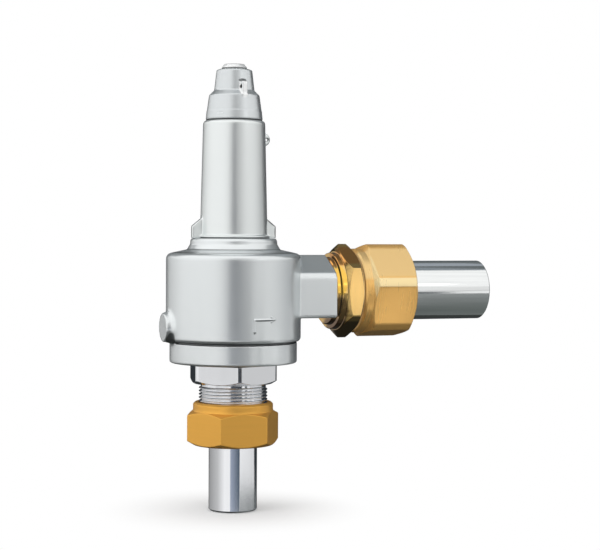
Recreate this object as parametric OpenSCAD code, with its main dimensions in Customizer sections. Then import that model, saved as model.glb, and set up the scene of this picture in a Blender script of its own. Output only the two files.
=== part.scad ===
// Angle pressure relief valve with union ends.
// Spring loaded, inlet from below, outlet to the side. Millimetres, +Z up.
// The origin is the centre of the inlet stub's lower end, on the valve axis.
// The outlet points along +X.

/* [Inlet stub and union] */
// Outside diameter of the inlet stub pipe
inlet_od = 33.7; // [28:0.1:38]
// Wall of the inlet stub pipe
inlet_wall = 3.2; // [2:0.1:4]
// Length of inlet stub below the union nut
inlet_free = 45.6; // [20:0.1:80]
// Step from the stub out to its collar inside the nut
inlet_collar_step = 4.95; // [3:0.05:7]
// Step from the stub collar out to the crest of the union thread
inlet_thread_step = 2.1; // [1.5:0.05:3]
// Wall of the inlet nut between thread and flats
inlet_nut_wall = 4.7; // [3:0.1:7]
// Floor of the inlet nut below the stub collar
inlet_nut_floor = 8.4; // [5:0.1:12]
// Height of the inlet nut's hexagon
inlet_nut_hex_h = 23.8; // [20:0.1:30]
// Height of the round collar on top of the inlet nut
inlet_nut_collar_h = 5.9; // [3:0.1:9]
// How far that round collar stays inside the flats
inlet_nut_collar_in = 0.75; // [0.3:0.05:2]
// Turn of the inlet nut's hexagon about the valve axis
inlet_nut_turn = -2.8; // [-30:0.1:30]

/* [Outlet stub and union] */
// Outside diameter of the outlet stub pipe
outlet_od = 42.4; // [36:0.1:48]
// Wall of the outlet stub pipe
outlet_wall = 3.2; // [2:0.1:4]
// Length of outlet stub beyond the union nut
outlet_free = 61; // [30:0.5:90]
// Step from the stub out to its collar inside the nut
outlet_collar_step = 3.2; // [2.5:0.05:6]
// Step from the stub collar out to the crest of the union thread
outlet_thread_step = 1.6; // [1.2:0.05:3]
// Wall of the outlet nut between thread and flats
outlet_nut_wall = 5; // [3:0.05:7]
// Floor of the outlet nut beyond the stub collar
outlet_nut_floor = 11.5; // [6:0.1:15]
// Length of the outlet nut's hexagon
outlet_nut_hex_h = 33.5; // [28:0.1:40]
// Length of the round collar on the outlet nut
outlet_nut_collar_h = 6; // [3:0.1:9]
// How far that round collar stays inside the flats
outlet_nut_collar_in = 1; // [0.3:0.05:2]
// Turn of the outlet nut's hexagon about the outlet axis
outlet_nut_turn = 18.2; // [-30:0.1:30]

/* [Union parts in common] */
// Thickness of the collars on the stubs
stub_collar_h = 6; // [4:0.1:9]
// Thickness of the flat gaskets in the unions
union_gasket_t = 2; // [1:0.1:3]
// How far those gaskets stay back from the bores
union_gasket_back = 0.4; // [0.2:0.1:1]
// How much thinner a stub is turned inside its nut
stub_relief = 0.6; // [0.4:0.05:1]
// Width of the bevel on the open end of a stub
stub_bevel = 0.8; // [0.3:0.1:1.5]
// Ledge between a union nut's hexagon and its round collar
nut_ledge = 0.25; // [0.1:0.05:0.29]
// How far the turned face on a hexagon's end stays inside its flats
hex_face_in = 1; // [0.3:0.1:1.5]

/* [Outlet adaptor] */
// Diameter of the adaptor's thread in the outlet block
adaptor_spigot_d = 32; // [28:0.1:36]
// Length of that thread
adaptor_spigot_h = 15.5; // [10:0.1:20]
// Wall of the adaptor around its bore
adaptor_wall = 3.5; // [3:0.1:6]
// Thickness of the adaptor's first round step
adaptor_step_h = 3.2; // [1:0.1:4]
// Thickness of the adaptor's second round step
adaptor_rim_h = 3.8; // [1:0.1:5]
// Length of the adaptor's hexagon
adaptor_hex_h = 12; // [8:0.1:16]
// How far the adaptor's flats stand out from its union thread
adaptor_hex_step = 3; // [2:0.1:5]
// Gap between the adaptor's hexagon and the outlet nut
adaptor_gap = 1; // [0.5:0.1:2]

/* [Nozzle] */
// Exposed length of union thread between nut and nozzle hexagon
nozzle_thread_show = 13; // [6:0.1:20]
// How far the nozzle's flats stand out from its union thread
nozzle_hex_step = 4.4; // [3:0.1:7]
// Height of the nozzle's hexagon
nozzle_hex_h = 13.3; // [9:0.1:18]
// Turn of the nozzle's hexagon about the valve axis
nozzle_turn = 20.4; // [-30:0.1:30]
// Diameter of the nozzle's thread in the body
nozzle_body_d = 48; // [44:0.5:52]
// Thickness of the gasket above the nozzle's hexagon
nozzle_gasket_t = 1.2; // [0.8:0.1:2]
// Width of the gasket above the nozzle's hexagon
nozzle_gasket_w = 3.2; // [2:0.1:4]
// Diameter of the nozzle's head inside the body
nozzle_head_d = 36; // [32:0.5:38]
// How much narrower the nozzle and the adaptor are than the stubs that they feed
nozzle_bore_in = 0.3; // [0.1:0.1:1]
// Bore of the seat
seat_d = 20; // [14:0.5:22]
// Width of the seat's flat land
seat_land = 2; // [1:0.1:3]
// Height of the seat above the chamber floor
seat_rise = 14; // [8:0.5:16]

/* [Body] */
// Diameter of the body's round shell
body_d = 94.6; // [88:0.2:104]
// Height of the body's round shell
shell_h = 62.2; // [58:0.2:72]
// Rounding of the shell's top edge
top_round = 3.4; // [1:0.1:5]
// Rounding of the shell's lower edge
shell_round = 5; // [3:0.1:6]
// Diameter of the ring below the shell
ring_d = 88.6; // [82:0.2:92]
// Height of that ring
ring_h = 13.2; // [9:0.1:18]
// Rounding of the ring's lower edge
ring_round = 2; // [1:0.1:3]
// Height of the groove between shell and ring
groove_h = 1; // [0.5:0.1:2]
// Depth of that groove, measured in from the ring
groove_depth = 1.1; // [0.5:0.1:2]
// Wall of the chamber
body_wall = 7.3; // [5:0.1:9]
// Thickness of the chamber floor, down to the ring's lower face
floor_t = 19.2; // [17:0.1:24]
// Thickness of the chamber roof
roof_t = 9.2; // [7:0.1:12]
// Wall below the adaptor thread, down to the outlet block's flat underside
block_wall = 3.2; // [2.6:0.1:6]
// Wall beside the adaptor thread, out to the outlet block's upright sides
block_side_wall = 9; // [7:0.1:12]
// Wall above the adaptor thread, up to the outlet block's ridge
block_ridge_wall = 10.5; // [9:0.1:14]
// How far the upper edges of the outlet block's sides lie above the outlet axis
block_shoulder = 10; // [6:0.1:14]
// How far the outlet block stands out from the shell
block_out = 20.7; // [18:0.1:30]
// How far the outlet block's ridge lies below the shell's top
block_drop = 0.9; // [0:0.1:6]
// Diameter of the blank boss opposite the outlet
boss_d = 20; // [14:0.5:22]
// How far the blank boss stands out from the shell
boss_out = 3.7; // [2:0.1:8]
// Height of the blank boss above the shell's lower edge
boss_rise = 10.8; // [10.6:0.1:20]
// Wall of the neck around the bonnet thread
neck_wall = 7.8; // [5:0.1:10]
// Height of the neck above the shell
neck_h = 9.7; // [8:0.1:14]
// How much wider the neck is at its foot
neck_draft = 1.8; // [0:0.1:3]
// Fillet between neck and shell
neck_fillet = 5.6; // [1:0.1:7]
// Thickness of the ledge that carries the disc guide
ledge_t = 4; // [3:0.1:6]
// Width of that ledge
ledge_w = 4.5; // [3:0.1:6]
// Slope between the chamber's wall and its floor and roof
chamber_slope = 7; // [3:0.1:9]

/* [Bonnet] */
// Height of the bonnet from its foot to its shoulder
bonnet_h = 80.7; // [76:0.1:100]
// Wall of the bonnet near its top
bonnet_wall = 4.5; // [3:0.1:7]
// How much the radius grows from top to foot
bonnet_draft = 2; // [0.5:0.1:3]
// Rounding of the bonnet's shoulder
bonnet_round = 2.4; // [1:0.1:3]
// How far the foot ring stands out
foot_step = 1.7; // [1:0.1:3]
// Height of the foot ring
foot_h = 1.6; // [1:0.1:3]
// Wall of the bonnet's thread in the neck
spigot_wall = 4; // [3:0.1:6]
// Thickness of the bonnet's roof below its shoulder
bonnet_roof_t = 12.4; // [8:0.1:18]
// Thickness of the gasket under the bonnet
bonnet_gasket_t = 0.8; // [0.5:0.1:1.5]
// Thickness of the wrench ribs
rib_t = 4; // [3:0.1:8]
// How far the wrench ribs stand out past the neck
rib_over = 1.7; // [0:0.1:4]
// Height of a rib's upright tip
rib_tip_h = 7.6; // [4:0.1:12]
// Height of a rib where it meets the wall
rib_h = 13.5; // [13:0.1:20]
// Radius of the seal ear
ear_r = 4.6; // [3.5:0.1:6]
// Thickness of the seal ear
ear_t = 3.4; // [2:0.1:5]
// How far the seal ear stands out from the wall
ear_out = 4.2; // [3.4:0.1:5]
// Depth of the seal ear's centre below the bonnet's shoulder
ear_drop = 12.7; // [10:0.1:30]
// Diameter of the seal wire holes
wire_hole_d = 2.4; // [1.5:0.1:2.6]

/* [Disc and guide] */
// Diameter of the disc
disc_d = 36; // [32:0.5:40]
// Height of the disc
disc_h = 11; // [9:0.1:14]
// Lift of the disc from closed to fully open
lift = 5; // [2:0.1:6]
// Diameter of the disc's stem
stem_d = 16; // [13:0.1:18]
// Depth of the soft seal ring
seal_h = 4; // [3:0.1:5]
// Width of disc rim around the soft seal ring
seal_rim = 2.4; // [1.5:0.1:3]
// Radius of the boss inside the soft seal ring
seal_boss_r = 5.3; // [4.5:0.1:6]
// Thickness of the washer that holds the soft seal
retainer_t = 1.8; // [1:0.1:3]
// Diameter of the washer's screw
retainer_screw_d = 5; // [3:0.1:6]
// Wall of the guide bush
guide_wall = 4.5; // [3:0.1:6]
// Thickness of the guide's flange
guide_flange_t = 4; // [3:0.1:6]
// Diameter of the cross pin
pin_d = 3; // [2:0.1:4]

/* [Spring and spindle] */
// Mean diameter of the spring
spring_mean_d = 26; // [24:0.1:30]
// Diameter of the spring wire
spring_wire = 4; // [3:0.1:5]
// Number of turns
spring_turns = 7; // [5:1:9]
// Room between spring and bonnet bore
spring_room = 2; // [1.2:0.1:4]
// Thickness of the spring seats
spring_seat_t = 4.2; // [3:0.1:6]
// Height of the pilots that centre the spring
spring_pilot_h = 3; // [2:0.1:4]
// Height of the lower spring seat above the bonnet's foot
spring_rise = 6.3; // [5:0.1:12]
// Diameter of the spindle
spindle_d = 8; // [6:0.1:9]
// Diameter of the collar that carries the lower spring seat
spindle_collar_d = 15; // [12:0.5:18]
// Height of that collar
spindle_collar_h = 4; // [3:0.1:5]

/* [Adjuster] */
// Diameter of the adjusting screw
screw_d = 16; // [14:0.1:18]
// Pitch of the adjusting screw
screw_pitch = 1.5; // [1:0.1:2]
// Turns that the adjusting screw can back off
screw_turns_up = 4; // [1:1:5]
// Length of screw above its lock nut
screw_show = 6; // [5:0.1:9]
// Width across the two flats on the screw's end
screw_flats = 12.6; // [11:0.1:13.6]
// Width across flats of the lock nut
lock_nut_af = 22; // [21:0.1:26]
// Height of the lock nut
lock_nut_h = 5; // [4:0.1:7]

/* [Cap] */
// Wall of the bonnet's top thread around the adjusting screw
cap_thread_wall = 7; // [5:0.1:8]
// Length of the bonnet's top thread above the cap gasket
cap_thread_h = 12; // [8:0.1:14]
// Wall of the cap's skirt at its lower rim
cap_wall = 4.65; // [3:0.05:5.4]
// Wall of the cap around the lock nut
cap_nut_wall = 3.9; // [3:0.1:5]
// Room between lock nut and cap
cap_nut_room = 0.9; // [0.6:0.1:2]
// Height of the sloped step between the cap's tiers
cap_step_h = 3.5; // [2:0.1:5]
// Wall of the cap's upper tier at its top
cap_head_wall = 2.75; // [2:0.05:4]
// Room between adjusting screw and the upper tier
cap_head_room = 1.6; // [1:0.1:3]
// How much the upper tier widens downwards
cap_head_draft = 1.65; // [0.5:0.05:2.5]
// Height left free above the raised adjusting screw
cap_head_gap = 2; // [1:0.1:4]
// Thickness of the cap's top
cap_roof_t = 4.4; // [3:0.1:7]
// Slope of the cap's top face, as a height
cap_crown_h = 1.2; // [0.5:0.1:2]
// Thickness of the cap gasket
cap_gasket_t = 0.6; // [0.5:0.1:1.5]
// Thickness of the cap's seal lug
lug_t = 3.7; // [3:0.1:6]
// Height of the seal lug's outer face above the sloped step's foot
lug_h = 8.8; // [6:0.1:10]
// Rise of the seal lug's top towards the cap's axis
lug_slope = 2.9; // [0:0.1:3]
// Direction of the seal lug about the valve axis
lug_turn = -83; // [-180:1:180]
// Diameter of the plug's thread
plug_d = 10; // [8:0.5:12]
// Diameter of the plug's head at its foot
plug_head_d = 17.4; // [15:0.1:20]
// Height of the plug's head
plug_head_h = 3; // [2:0.1:5]

/* [Clearances] */
// Radial clearance between a thread and its mate
thread_clear = 0.15; // [0.1:0.01:0.3]
// Radial clearance of parts that pass each other freely
free_clear = 0.3; // [0.2:0.01:0.5]
// Radial clearance of the disc's stem in its guide
guide_clear = 0.05; // [0.02:0.01:0.1]
// Room between the seal's washer and the seat's bore
retainer_room = 0.9; // [0.5:0.1:2]
// Gap between the raised disc and the guide that stops it
lift_gap = 0.3; // [0.1:0.05:1]
// Gap between the raised upper spring seat and the bonnet roof
screw_gap = 1.5; // [0.5:0.1:3]
// Gap at each end of the spring
spring_gap = 0.05; // [0.02:0.01:0.2]

/* [Hidden] */
$fn = 72;
cut = 1; // how far a cutting shape runs past the face that it opens

cast_steel = [0.72, 0.73, 0.73];
bright_steel = [0.85, 0.86, 0.87];
inner_steel = [0.62, 0.63, 0.65];
brass = [0.79, 0.60, 0.27];
white_plastic = [0.93, 0.92, 0.88];
dark_fibre = [0.22, 0.22, 0.23];

// Radii of the inlet union, from the stub outwards
inlet_r = inlet_od / 2;
inlet_bore_r = inlet_r - inlet_wall;
inlet_collar_r = inlet_r + inlet_collar_step;
inlet_thread_r = inlet_collar_r + inlet_thread_step;
inlet_nut_af = 2 * (inlet_thread_r + inlet_nut_wall);
nozzle_af = 2 * (inlet_thread_r + nozzle_hex_step);
nozzle_bore_r = inlet_bore_r - nozzle_bore_in;

// Radii of the outlet union, from the stub outwards
outlet_r = outlet_od / 2;
outlet_bore_r = outlet_r - outlet_wall;
outlet_collar_r = outlet_r + outlet_collar_step;
outlet_thread_r = outlet_collar_r + outlet_thread_step;
outlet_nut_af = 2 * (outlet_thread_r + outlet_nut_wall);
adaptor_af = 2 * (outlet_thread_r + adaptor_hex_step);
adaptor_spigot_r = adaptor_spigot_d / 2;
adaptor_bore_r = adaptor_spigot_r - adaptor_wall;
adaptor_mouth_r = outlet_bore_r - nozzle_bore_in;
block_floor = adaptor_spigot_r + block_wall;
block_side = adaptor_spigot_r + block_side_wall;
block_ridge = adaptor_spigot_r + block_ridge_wall;

// Radii around the valve axis, from the spindle outwards
spindle_r = spindle_d / 2;
screw_r = screw_d / 2;
stem_r = stem_d / 2;
seat_r = seat_d / 2;
disc_r = disc_d / 2;
guide_r = stem_r + guide_wall;
nozzle_body_r = nozzle_body_d / 2;
nozzle_head_r = nozzle_head_d / 2;
spring_r = spring_mean_d / 2;
bonnet_bore_r = spring_r + spring_wire / 2 + spring_room;
spring_seat_r = bonnet_bore_r - spring_room / 2;
spring_pilot_r = spring_r - spring_wire / 2 - free_clear;
spigot_r = bonnet_bore_r + spigot_wall;
bonnet_top_r = bonnet_bore_r + bonnet_wall;
bonnet_foot_r = bonnet_top_r + bonnet_draft;
foot_r = bonnet_foot_r + foot_step;
neck_r = spigot_r + neck_wall;
rib_r = neck_r + rib_over;
body_r = body_d / 2;
ring_r = ring_d / 2;
chamber_r = body_r - body_wall;
ledge_r = spigot_r - ledge_w;
cap_thread_r = screw_r + cap_thread_wall;
cap_rim_r = cap_thread_r + thread_clear + cap_wall;
cap_nut_r = lock_nut_af / sqrt(3) + cap_nut_room;
cap_step_r = cap_nut_r + cap_nut_wall;
cap_head_in_r = screw_r + cap_head_room;
cap_top_r = cap_head_in_r + cap_head_wall;
cap_head_r = cap_top_r + cap_head_draft;

// Heights of the inlet union and the nozzle, from the stub's end upwards
inlet_nut_z = inlet_free;
inlet_collar_z = inlet_nut_z + inlet_nut_floor;
inlet_gasket_z = inlet_collar_z + stub_collar_h;
nozzle_z = inlet_gasket_z + union_gasket_t;
inlet_nut_collar_z = inlet_nut_z + inlet_nut_hex_h;
inlet_nut_top = inlet_nut_collar_z + inlet_nut_collar_h;
nozzle_hex_z = inlet_nut_top + nozzle_thread_show;
nozzle_gasket_z = nozzle_hex_z + nozzle_hex_h;

// Heights of the body
body_z = nozzle_gasket_z + nozzle_gasket_t;
floor_z = body_z + floor_t;
seat_z = floor_z + seat_rise;
groove_z = body_z + ring_h;
shell_z = groove_z + groove_h;
shell_top = shell_z + shell_h;
roof_z = shell_top - roof_t;
ledge_z = roof_z + ledge_t;
neck_top = shell_top + neck_h;
outlet_z = shell_top - block_drop - block_ridge;
boss_z = shell_z + boss_rise;

// Heights of the disc and its guide
disc_top = seat_z + disc_h;
guide_z = disc_top + lift + lift_gap;
spigot_z = ledge_z + guide_flange_t;
stem_top = spigot_z - free_clear;
spindle_z = disc_top + pin_d;
pin_z = (spindle_z + stem_top) / 2;

// Heights of the bonnet, spring and adjuster
bonnet_z = neck_top + bonnet_gasket_t;
bonnet_top = bonnet_z + bonnet_h;
bonnet_roof_z = bonnet_top - bonnet_roof_t;
cap_z = bonnet_top + cap_gasket_t;
cap_thread_top = cap_z + cap_thread_h;
lower_seat_z = bonnet_z + spring_rise;
spring_z = lower_seat_z + spring_seat_t;
screw_rise = screw_turns_up * screw_pitch;
screw_z = bonnet_roof_z - screw_rise - screw_gap;
upper_seat_z = screw_z - spring_seat_t;
spring_h = upper_seat_z - spring_z;
lock_nut_z = cap_thread_top;
lock_nut_top = lock_nut_z + lock_nut_h;
screw_top = lock_nut_top + screw_show;
spindle_top = screw_top + free_clear;

// Heights of the cap
cap_step_z = lock_nut_top - free_clear;
cap_head_z = cap_step_z + cap_step_h;
cap_in_top = max(screw_top + screw_rise, spindle_top + lift) + cap_head_gap;
cap_top = cap_in_top + cap_roof_t;
cap_crown_z = cap_top - cap_crown_h;

// Places along the outlet, from the valve axis outwards
block_x = body_r + block_out;
adaptor_x = block_x - adaptor_spigot_h;
adaptor_hex_x = block_x + adaptor_step_h + adaptor_rim_h;
adaptor_thread_x = adaptor_hex_x + adaptor_hex_h;
outlet_nut_x = adaptor_thread_x + adaptor_gap;
outlet_nut_hex_x = outlet_nut_x + outlet_nut_collar_h;
outlet_nut_end = outlet_nut_hex_x + outlet_nut_hex_h;
outlet_collar_x = outlet_nut_end - outlet_nut_floor - stub_collar_h;
outlet_gasket_x = outlet_collar_x - union_gasket_t;
outlet_end = outlet_nut_end + outlet_free;

// Points of a round stretch in a profile
function arc(x, y, r, from, to, steps = 3) =
    [for (i = [0 : steps]) let (a = from + (to - from) * i / steps) [x + r * cos(a), y + r * sin(a)]];

// Radius of the bonnet's drafted wall at a height
function bonnet_r(z) = bonnet_top_r + bonnet_draft * (bonnet_top - z) / bonnet_h;

// A solid of revolution from points (radius, height)
module turned(points) {
    rotate_extrude() polygon(points);
}

// A flat ring
module washer(r, bore_r, z, h) {
    turned([[bore_r, z], [r, z], [r, z + h], [bore_r, z + h]]);
}

// A hexagon bar. Its corners are turned off at an end whose face stays inside the flats.
module hex_bar(af, z, h, turn = 0, low_in = hex_face_in, high_in = hex_face_in) {
    corner_r = af / sqrt(3);
    outer_r = corner_r + cut;
    low_r = low_in > 0 ? af / 2 - low_in : outer_r;
    high_r = high_in > 0 ? af / 2 - high_in : outer_r;
    intersection() {
        translate([0, 0, z]) rotate(turn) cylinder(r = corner_r, h = h, $fn = 6);
        turned([[0, z], [low_r, z], [outer_r, z + (outer_r - low_r) * tan(30)],
            [outer_r, z + h - (outer_r - high_r) * tan(30)], [high_r, z + h], [0, z + h]]);
    }
}

// Lays a shape that was built along Z onto the outlet's axis
module along_outlet() {
    translate([0, 0, outlet_z]) rotate([0, 90, 0]) children();
}

// Cast body: ring, shell and neck with the outlet block and the blank boss
module valve_body() {
    boss_foot = boss_out;
    color(cast_steel) difference() {
        union() {
            turned(concat(
                [[0, body_z]],
                arc(ring_r - ring_round, body_z + ring_round, ring_round, -90, 0, 2),
                [[ring_r, groove_z], [ring_r - groove_depth, groove_z], [ring_r - groove_depth, shell_z]],
                arc(body_r - shell_round, shell_z + shell_round, shell_round, -70, 0),
                arc(body_r - top_round, shell_top - top_round, top_round, 0, 90),
                arc(neck_r + neck_draft + neck_fillet, shell_top + neck_fillet, neck_fillet, 270, 180),
                [[neck_r, neck_top], [0, neck_top]]));
            translate([0, 0, outlet_z]) rotate([90, 0, 90]) linear_extrude(block_x)
                polygon([[-block_side, -block_floor], [block_side, -block_floor],
                    [block_side, block_shoulder], [0, block_ridge], [-block_side, block_shoulder]]);
            translate([0, 0, boss_z]) rotate([0, -90, 0]) turned([[0, 0], [boss_d / 2 + boss_foot, 0],
                [boss_d / 2 + boss_foot, body_r - boss_foot], [boss_d / 2, body_r + boss_out / 3],
                [boss_d / 2, body_r + boss_out], [0, body_r + boss_out]]);
        }
        turned([[0, body_z - cut], [nozzle_body_r + thread_clear, body_z - cut],
            [nozzle_body_r + thread_clear, floor_z], [chamber_r - chamber_slope, floor_z],
            [chamber_r, floor_z + chamber_slope], [chamber_r, roof_z - chamber_slope],
            [chamber_r - chamber_slope, roof_z], [ledge_r, roof_z], [ledge_r, ledge_z],
            [spigot_r + thread_clear, ledge_z], [spigot_r + thread_clear, neck_top + cut],
            [0, neck_top + cut]]);
        along_outlet() {
            cylinder(r = adaptor_bore_r, h = block_x);
            translate([0, 0, adaptor_x - adaptor_gap])
                cylinder(r = adaptor_spigot_r + thread_clear, h = block_x);
        }
    }
}

// Screwed nozzle: union thread, hexagon, body thread and raised seat
module inlet_nozzle() {
    edge = inlet_thread_step / 2;
    color(bright_steel) difference() {
        union() {
            turned([[0, nozzle_z], [inlet_thread_r - edge, nozzle_z], [inlet_thread_r, nozzle_z + edge],
                [inlet_thread_r, nozzle_hex_z - 2 * edge], [inlet_thread_r - edge, nozzle_hex_z - edge],
                [inlet_thread_r - edge, nozzle_hex_z], [nozzle_body_r - edge, nozzle_hex_z],
                [nozzle_body_r - edge, body_z], [nozzle_body_r, body_z + edge],
                [nozzle_body_r, floor_z - edge], [nozzle_body_r - edge, floor_z],
                [nozzle_head_r, floor_z], [nozzle_head_r, seat_z - seat_rise / 2],
                [seat_r + seat_land, seat_z], [0, seat_z]]);
            hex_bar(nozzle_af, nozzle_hex_z, nozzle_hex_h, nozzle_turn, high_in = 0);
        }
        turned([[0, nozzle_z - cut], [nozzle_bore_r, nozzle_z - cut], [nozzle_bore_r, body_z],
            [seat_r, floor_z + seat_rise / 2], [seat_r, seat_z + cut], [0, seat_z + cut]]);
    }
}

module nozzle_gasket() {
    color(dark_fibre) washer(nozzle_body_r + free_clear + nozzle_gasket_w,
        nozzle_body_r + free_clear, nozzle_gasket_z, nozzle_gasket_t);
}

// Stub pipe with the collar that its union nut draws up
module stub(r, bore_r, collar_r, free, collar_z) {
    turned([[bore_r, 0], [r - stub_bevel, 0], [r, stub_bevel], [r, free - stub_bevel],
        [r - stub_relief, free - stub_bevel + stub_relief], [r - stub_relief, collar_z],
        [collar_r, collar_z], [collar_r, collar_z + stub_collar_h], [bore_r, collar_z + stub_collar_h]]);
}

module inlet_tail() {
    color(bright_steel) stub(inlet_r, inlet_bore_r, inlet_collar_r, inlet_free, inlet_collar_z);
}

module inlet_gasket() {
    color(white_plastic) washer(inlet_collar_r,
        inlet_bore_r + union_gasket_back, inlet_gasket_z, union_gasket_t);
}

// Union nut: hexagon with a round collar, a floor that lets the stub through, and a threaded mouth
module union_nut(af, collar_in, z, hex_h, collar_h, floor_h, stub_r, thread_r, turn) {
    top = z + hex_h + collar_h;
    collar_r = af / 2 - collar_in;
    edge = collar_h / 5;
    difference() {
        union() {
            hex_bar(af, z, hex_h, turn, high_in = collar_in - nut_ledge);
            turned([[0, z + hex_h / 2], [collar_r, z + hex_h / 2], [collar_r, top - edge],
                [collar_r - edge, top], [0, top]]);
        }
        translate([0, 0, z - cut]) cylinder(r = stub_r + free_clear, h = floor_h + 2 * cut);
        translate([0, 0, z + floor_h]) cylinder(r = thread_r + thread_clear, h = hex_h + collar_h);
    }
}

module inlet_nut() {
    color(brass) union_nut(inlet_nut_af, inlet_nut_collar_in, inlet_nut_z, inlet_nut_hex_h,
        inlet_nut_collar_h, inlet_nut_floor, inlet_r, inlet_thread_r, inlet_nut_turn);
}

// Union half for the outlet: block thread, stepped shoulder, hexagon and union thread
module outlet_adaptor() {
    edge = outlet_thread_step / 2;
    rim_r = adaptor_af / 2 - adaptor_rim_h / 2;
    step_r = rim_r - adaptor_step_h;
    color(brass) along_outlet() difference() {
        union() {
            turned([[0, adaptor_x], [adaptor_spigot_r - edge, adaptor_x],
                [adaptor_spigot_r, adaptor_x + edge], [adaptor_spigot_r, block_x],
                [step_r - edge, block_x], [step_r, block_x + edge], [step_r, block_x + adaptor_step_h],
                [rim_r, block_x + adaptor_step_h], [rim_r, adaptor_thread_x - edge],
                [outlet_thread_r - edge, adaptor_thread_x - edge],
                [outlet_thread_r - edge, adaptor_thread_x + edge],
                [outlet_thread_r, adaptor_thread_x + 2 * edge],
                [outlet_thread_r, outlet_gasket_x - edge], [outlet_thread_r - edge, outlet_gasket_x],
                [0, outlet_gasket_x]]);
            hex_bar(adaptor_af, adaptor_hex_x, adaptor_hex_h);
        }
        turned([[0, adaptor_x - cut], [adaptor_bore_r, adaptor_x - cut], [adaptor_bore_r, adaptor_hex_x],
            [adaptor_mouth_r, outlet_gasket_x], [adaptor_mouth_r, outlet_gasket_x + cut],
            [0, outlet_gasket_x + cut]]);
    }
}

module outlet_tail() {
    color(bright_steel) along_outlet() translate([0, 0, outlet_end]) mirror([0, 0, 1])
        stub(outlet_r, outlet_bore_r, outlet_collar_r, outlet_free, outlet_free + outlet_nut_floor);
}

module outlet_gasket() {
    color(white_plastic) along_outlet()
        washer(outlet_collar_r, outlet_bore_r + union_gasket_back, outlet_gasket_x, union_gasket_t);
}

module outlet_nut() {
    color(brass) along_outlet() translate([0, 0, outlet_nut_end]) mirror([0, 0, 1])
        union_nut(outlet_nut_af, outlet_nut_collar_in, 0, outlet_nut_hex_h, outlet_nut_collar_h,
            outlet_nut_floor, outlet_r, outlet_thread_r, outlet_nut_turn);
}

// Spring housing: drafted wall, screwed foot, wrench ribs, seal ear and the thread for the cap
module bonnet() {
    ear_z = bonnet_top - ear_drop;
    ear_x = bonnet_r(ear_z) + ear_out - ear_r;
    color(cast_steel) difference() {
        union() {
            turned(concat(
                [[0, spigot_z], [spigot_r, spigot_z], [spigot_r, bonnet_z], [foot_r, bonnet_z],
                    [foot_r, bonnet_z + foot_h / 2], [bonnet_r(bonnet_z + foot_h), bonnet_z + foot_h]],
                arc(bonnet_r(bonnet_top) - bonnet_round, bonnet_top - bonnet_round, bonnet_round, 0, 90),
                [[cap_thread_r, bonnet_top], [cap_thread_r, cap_thread_top], [0, cap_thread_top]]));
            for (side = [0, 180]) rotate(side) rotate([90, 0, 0])
                translate([0, 0, -rib_t / 2]) linear_extrude(rib_t)
                    polygon([[bonnet_bore_r, bonnet_z], [rib_r, bonnet_z], [rib_r, bonnet_z + rib_tip_h],
                        [bonnet_r(bonnet_z + rib_h), bonnet_z + rib_h], [bonnet_bore_r, bonnet_z + rib_h]]);
            translate([ear_x, 0, ear_z]) rotate([90, 0, 0])
                cylinder(r = ear_r, h = ear_t, center = true);
        }
        translate([0, 0, spigot_z - cut]) cylinder(r = bonnet_bore_r, h = bonnet_roof_z - spigot_z + cut);
        cylinder(r = screw_r + thread_clear, h = cap_thread_top + cut);
        translate([bonnet_r(ear_z) + ear_out - wire_hole_d, 0, ear_z]) rotate([90, 0, 0])
            cylinder(d = wire_hole_d, h = ear_t + cut, center = true);
    }
}

module bonnet_gasket() {
    color(dark_fibre) washer(foot_r - bonnet_gasket_t / 2, spigot_r + free_clear, neck_top, bonnet_gasket_t);
}

// Flanged bush under the bonnet
module disc_guide() {
    color(brass) difference() {
        turned([[0, guide_z], [guide_r, guide_z], [guide_r, ledge_z], [spigot_r - free_clear, ledge_z],
            [spigot_r - free_clear, spigot_z], [0, spigot_z]]);
        translate([0, 0, guide_z - cut]) cylinder(r = stem_r + guide_clear, h = spigot_z - guide_z + 2 * cut);
    }
}

// Disc with its stem; a recess below takes the soft seal, a bore above the spindle
module disc_holder() {
    color(inner_steel) difference() {
        turned([[0, seat_z], [disc_r - seal_rim / 4, seat_z], [disc_r, seat_z + seal_rim],
            [disc_r, disc_top - seal_rim], [disc_r - seal_rim, disc_top], [stem_r, disc_top],
            [stem_r, stem_top], [0, stem_top]]);
        washer(disc_r - seal_rim, seal_boss_r, seat_z - cut, seal_h + cut);
        translate([0, 0, seat_z - cut])
            cylinder(d = retainer_screw_d + 2 * thread_clear, h = disc_h - pin_d + cut);
        translate([0, 0, spindle_z]) cylinder(r = spindle_r + thread_clear, h = stem_top);
        translate([0, 0, pin_z]) rotate([90, 0, 0])
            cylinder(d = pin_d + 2 * guide_clear, h = 2 * disc_r, center = true);
    }
}

module disc_seal() {
    color(white_plastic) washer(disc_r - seal_rim - guide_clear, seal_boss_r + guide_clear, seat_z, seal_h);
}

module seal_retainer() {
    color(inner_steel) washer(seat_r - retainer_room, retainer_screw_d / 2 + thread_clear,
        seat_z - retainer_t, retainer_t);
}

module retainer_screw() {
    head_h = retainer_screw_d / 2;
    z = seat_z - retainer_t;
    color(inner_steel) difference() {
        turned([[0, z - head_h], [0.8 * retainer_screw_d, z - head_h], [0.8 * retainer_screw_d, z],
            [retainer_screw_d / 2, z], [retainer_screw_d / 2, seat_z + disc_h - 2 * pin_d],
            [0, seat_z + disc_h - 2 * pin_d]]);
        translate([0, 0, z - head_h - cut]) rotate(30)
            cylinder(d = 0.9 * retainer_screw_d, h = cut + head_h / 2, $fn = 6);
    }
}

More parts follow.
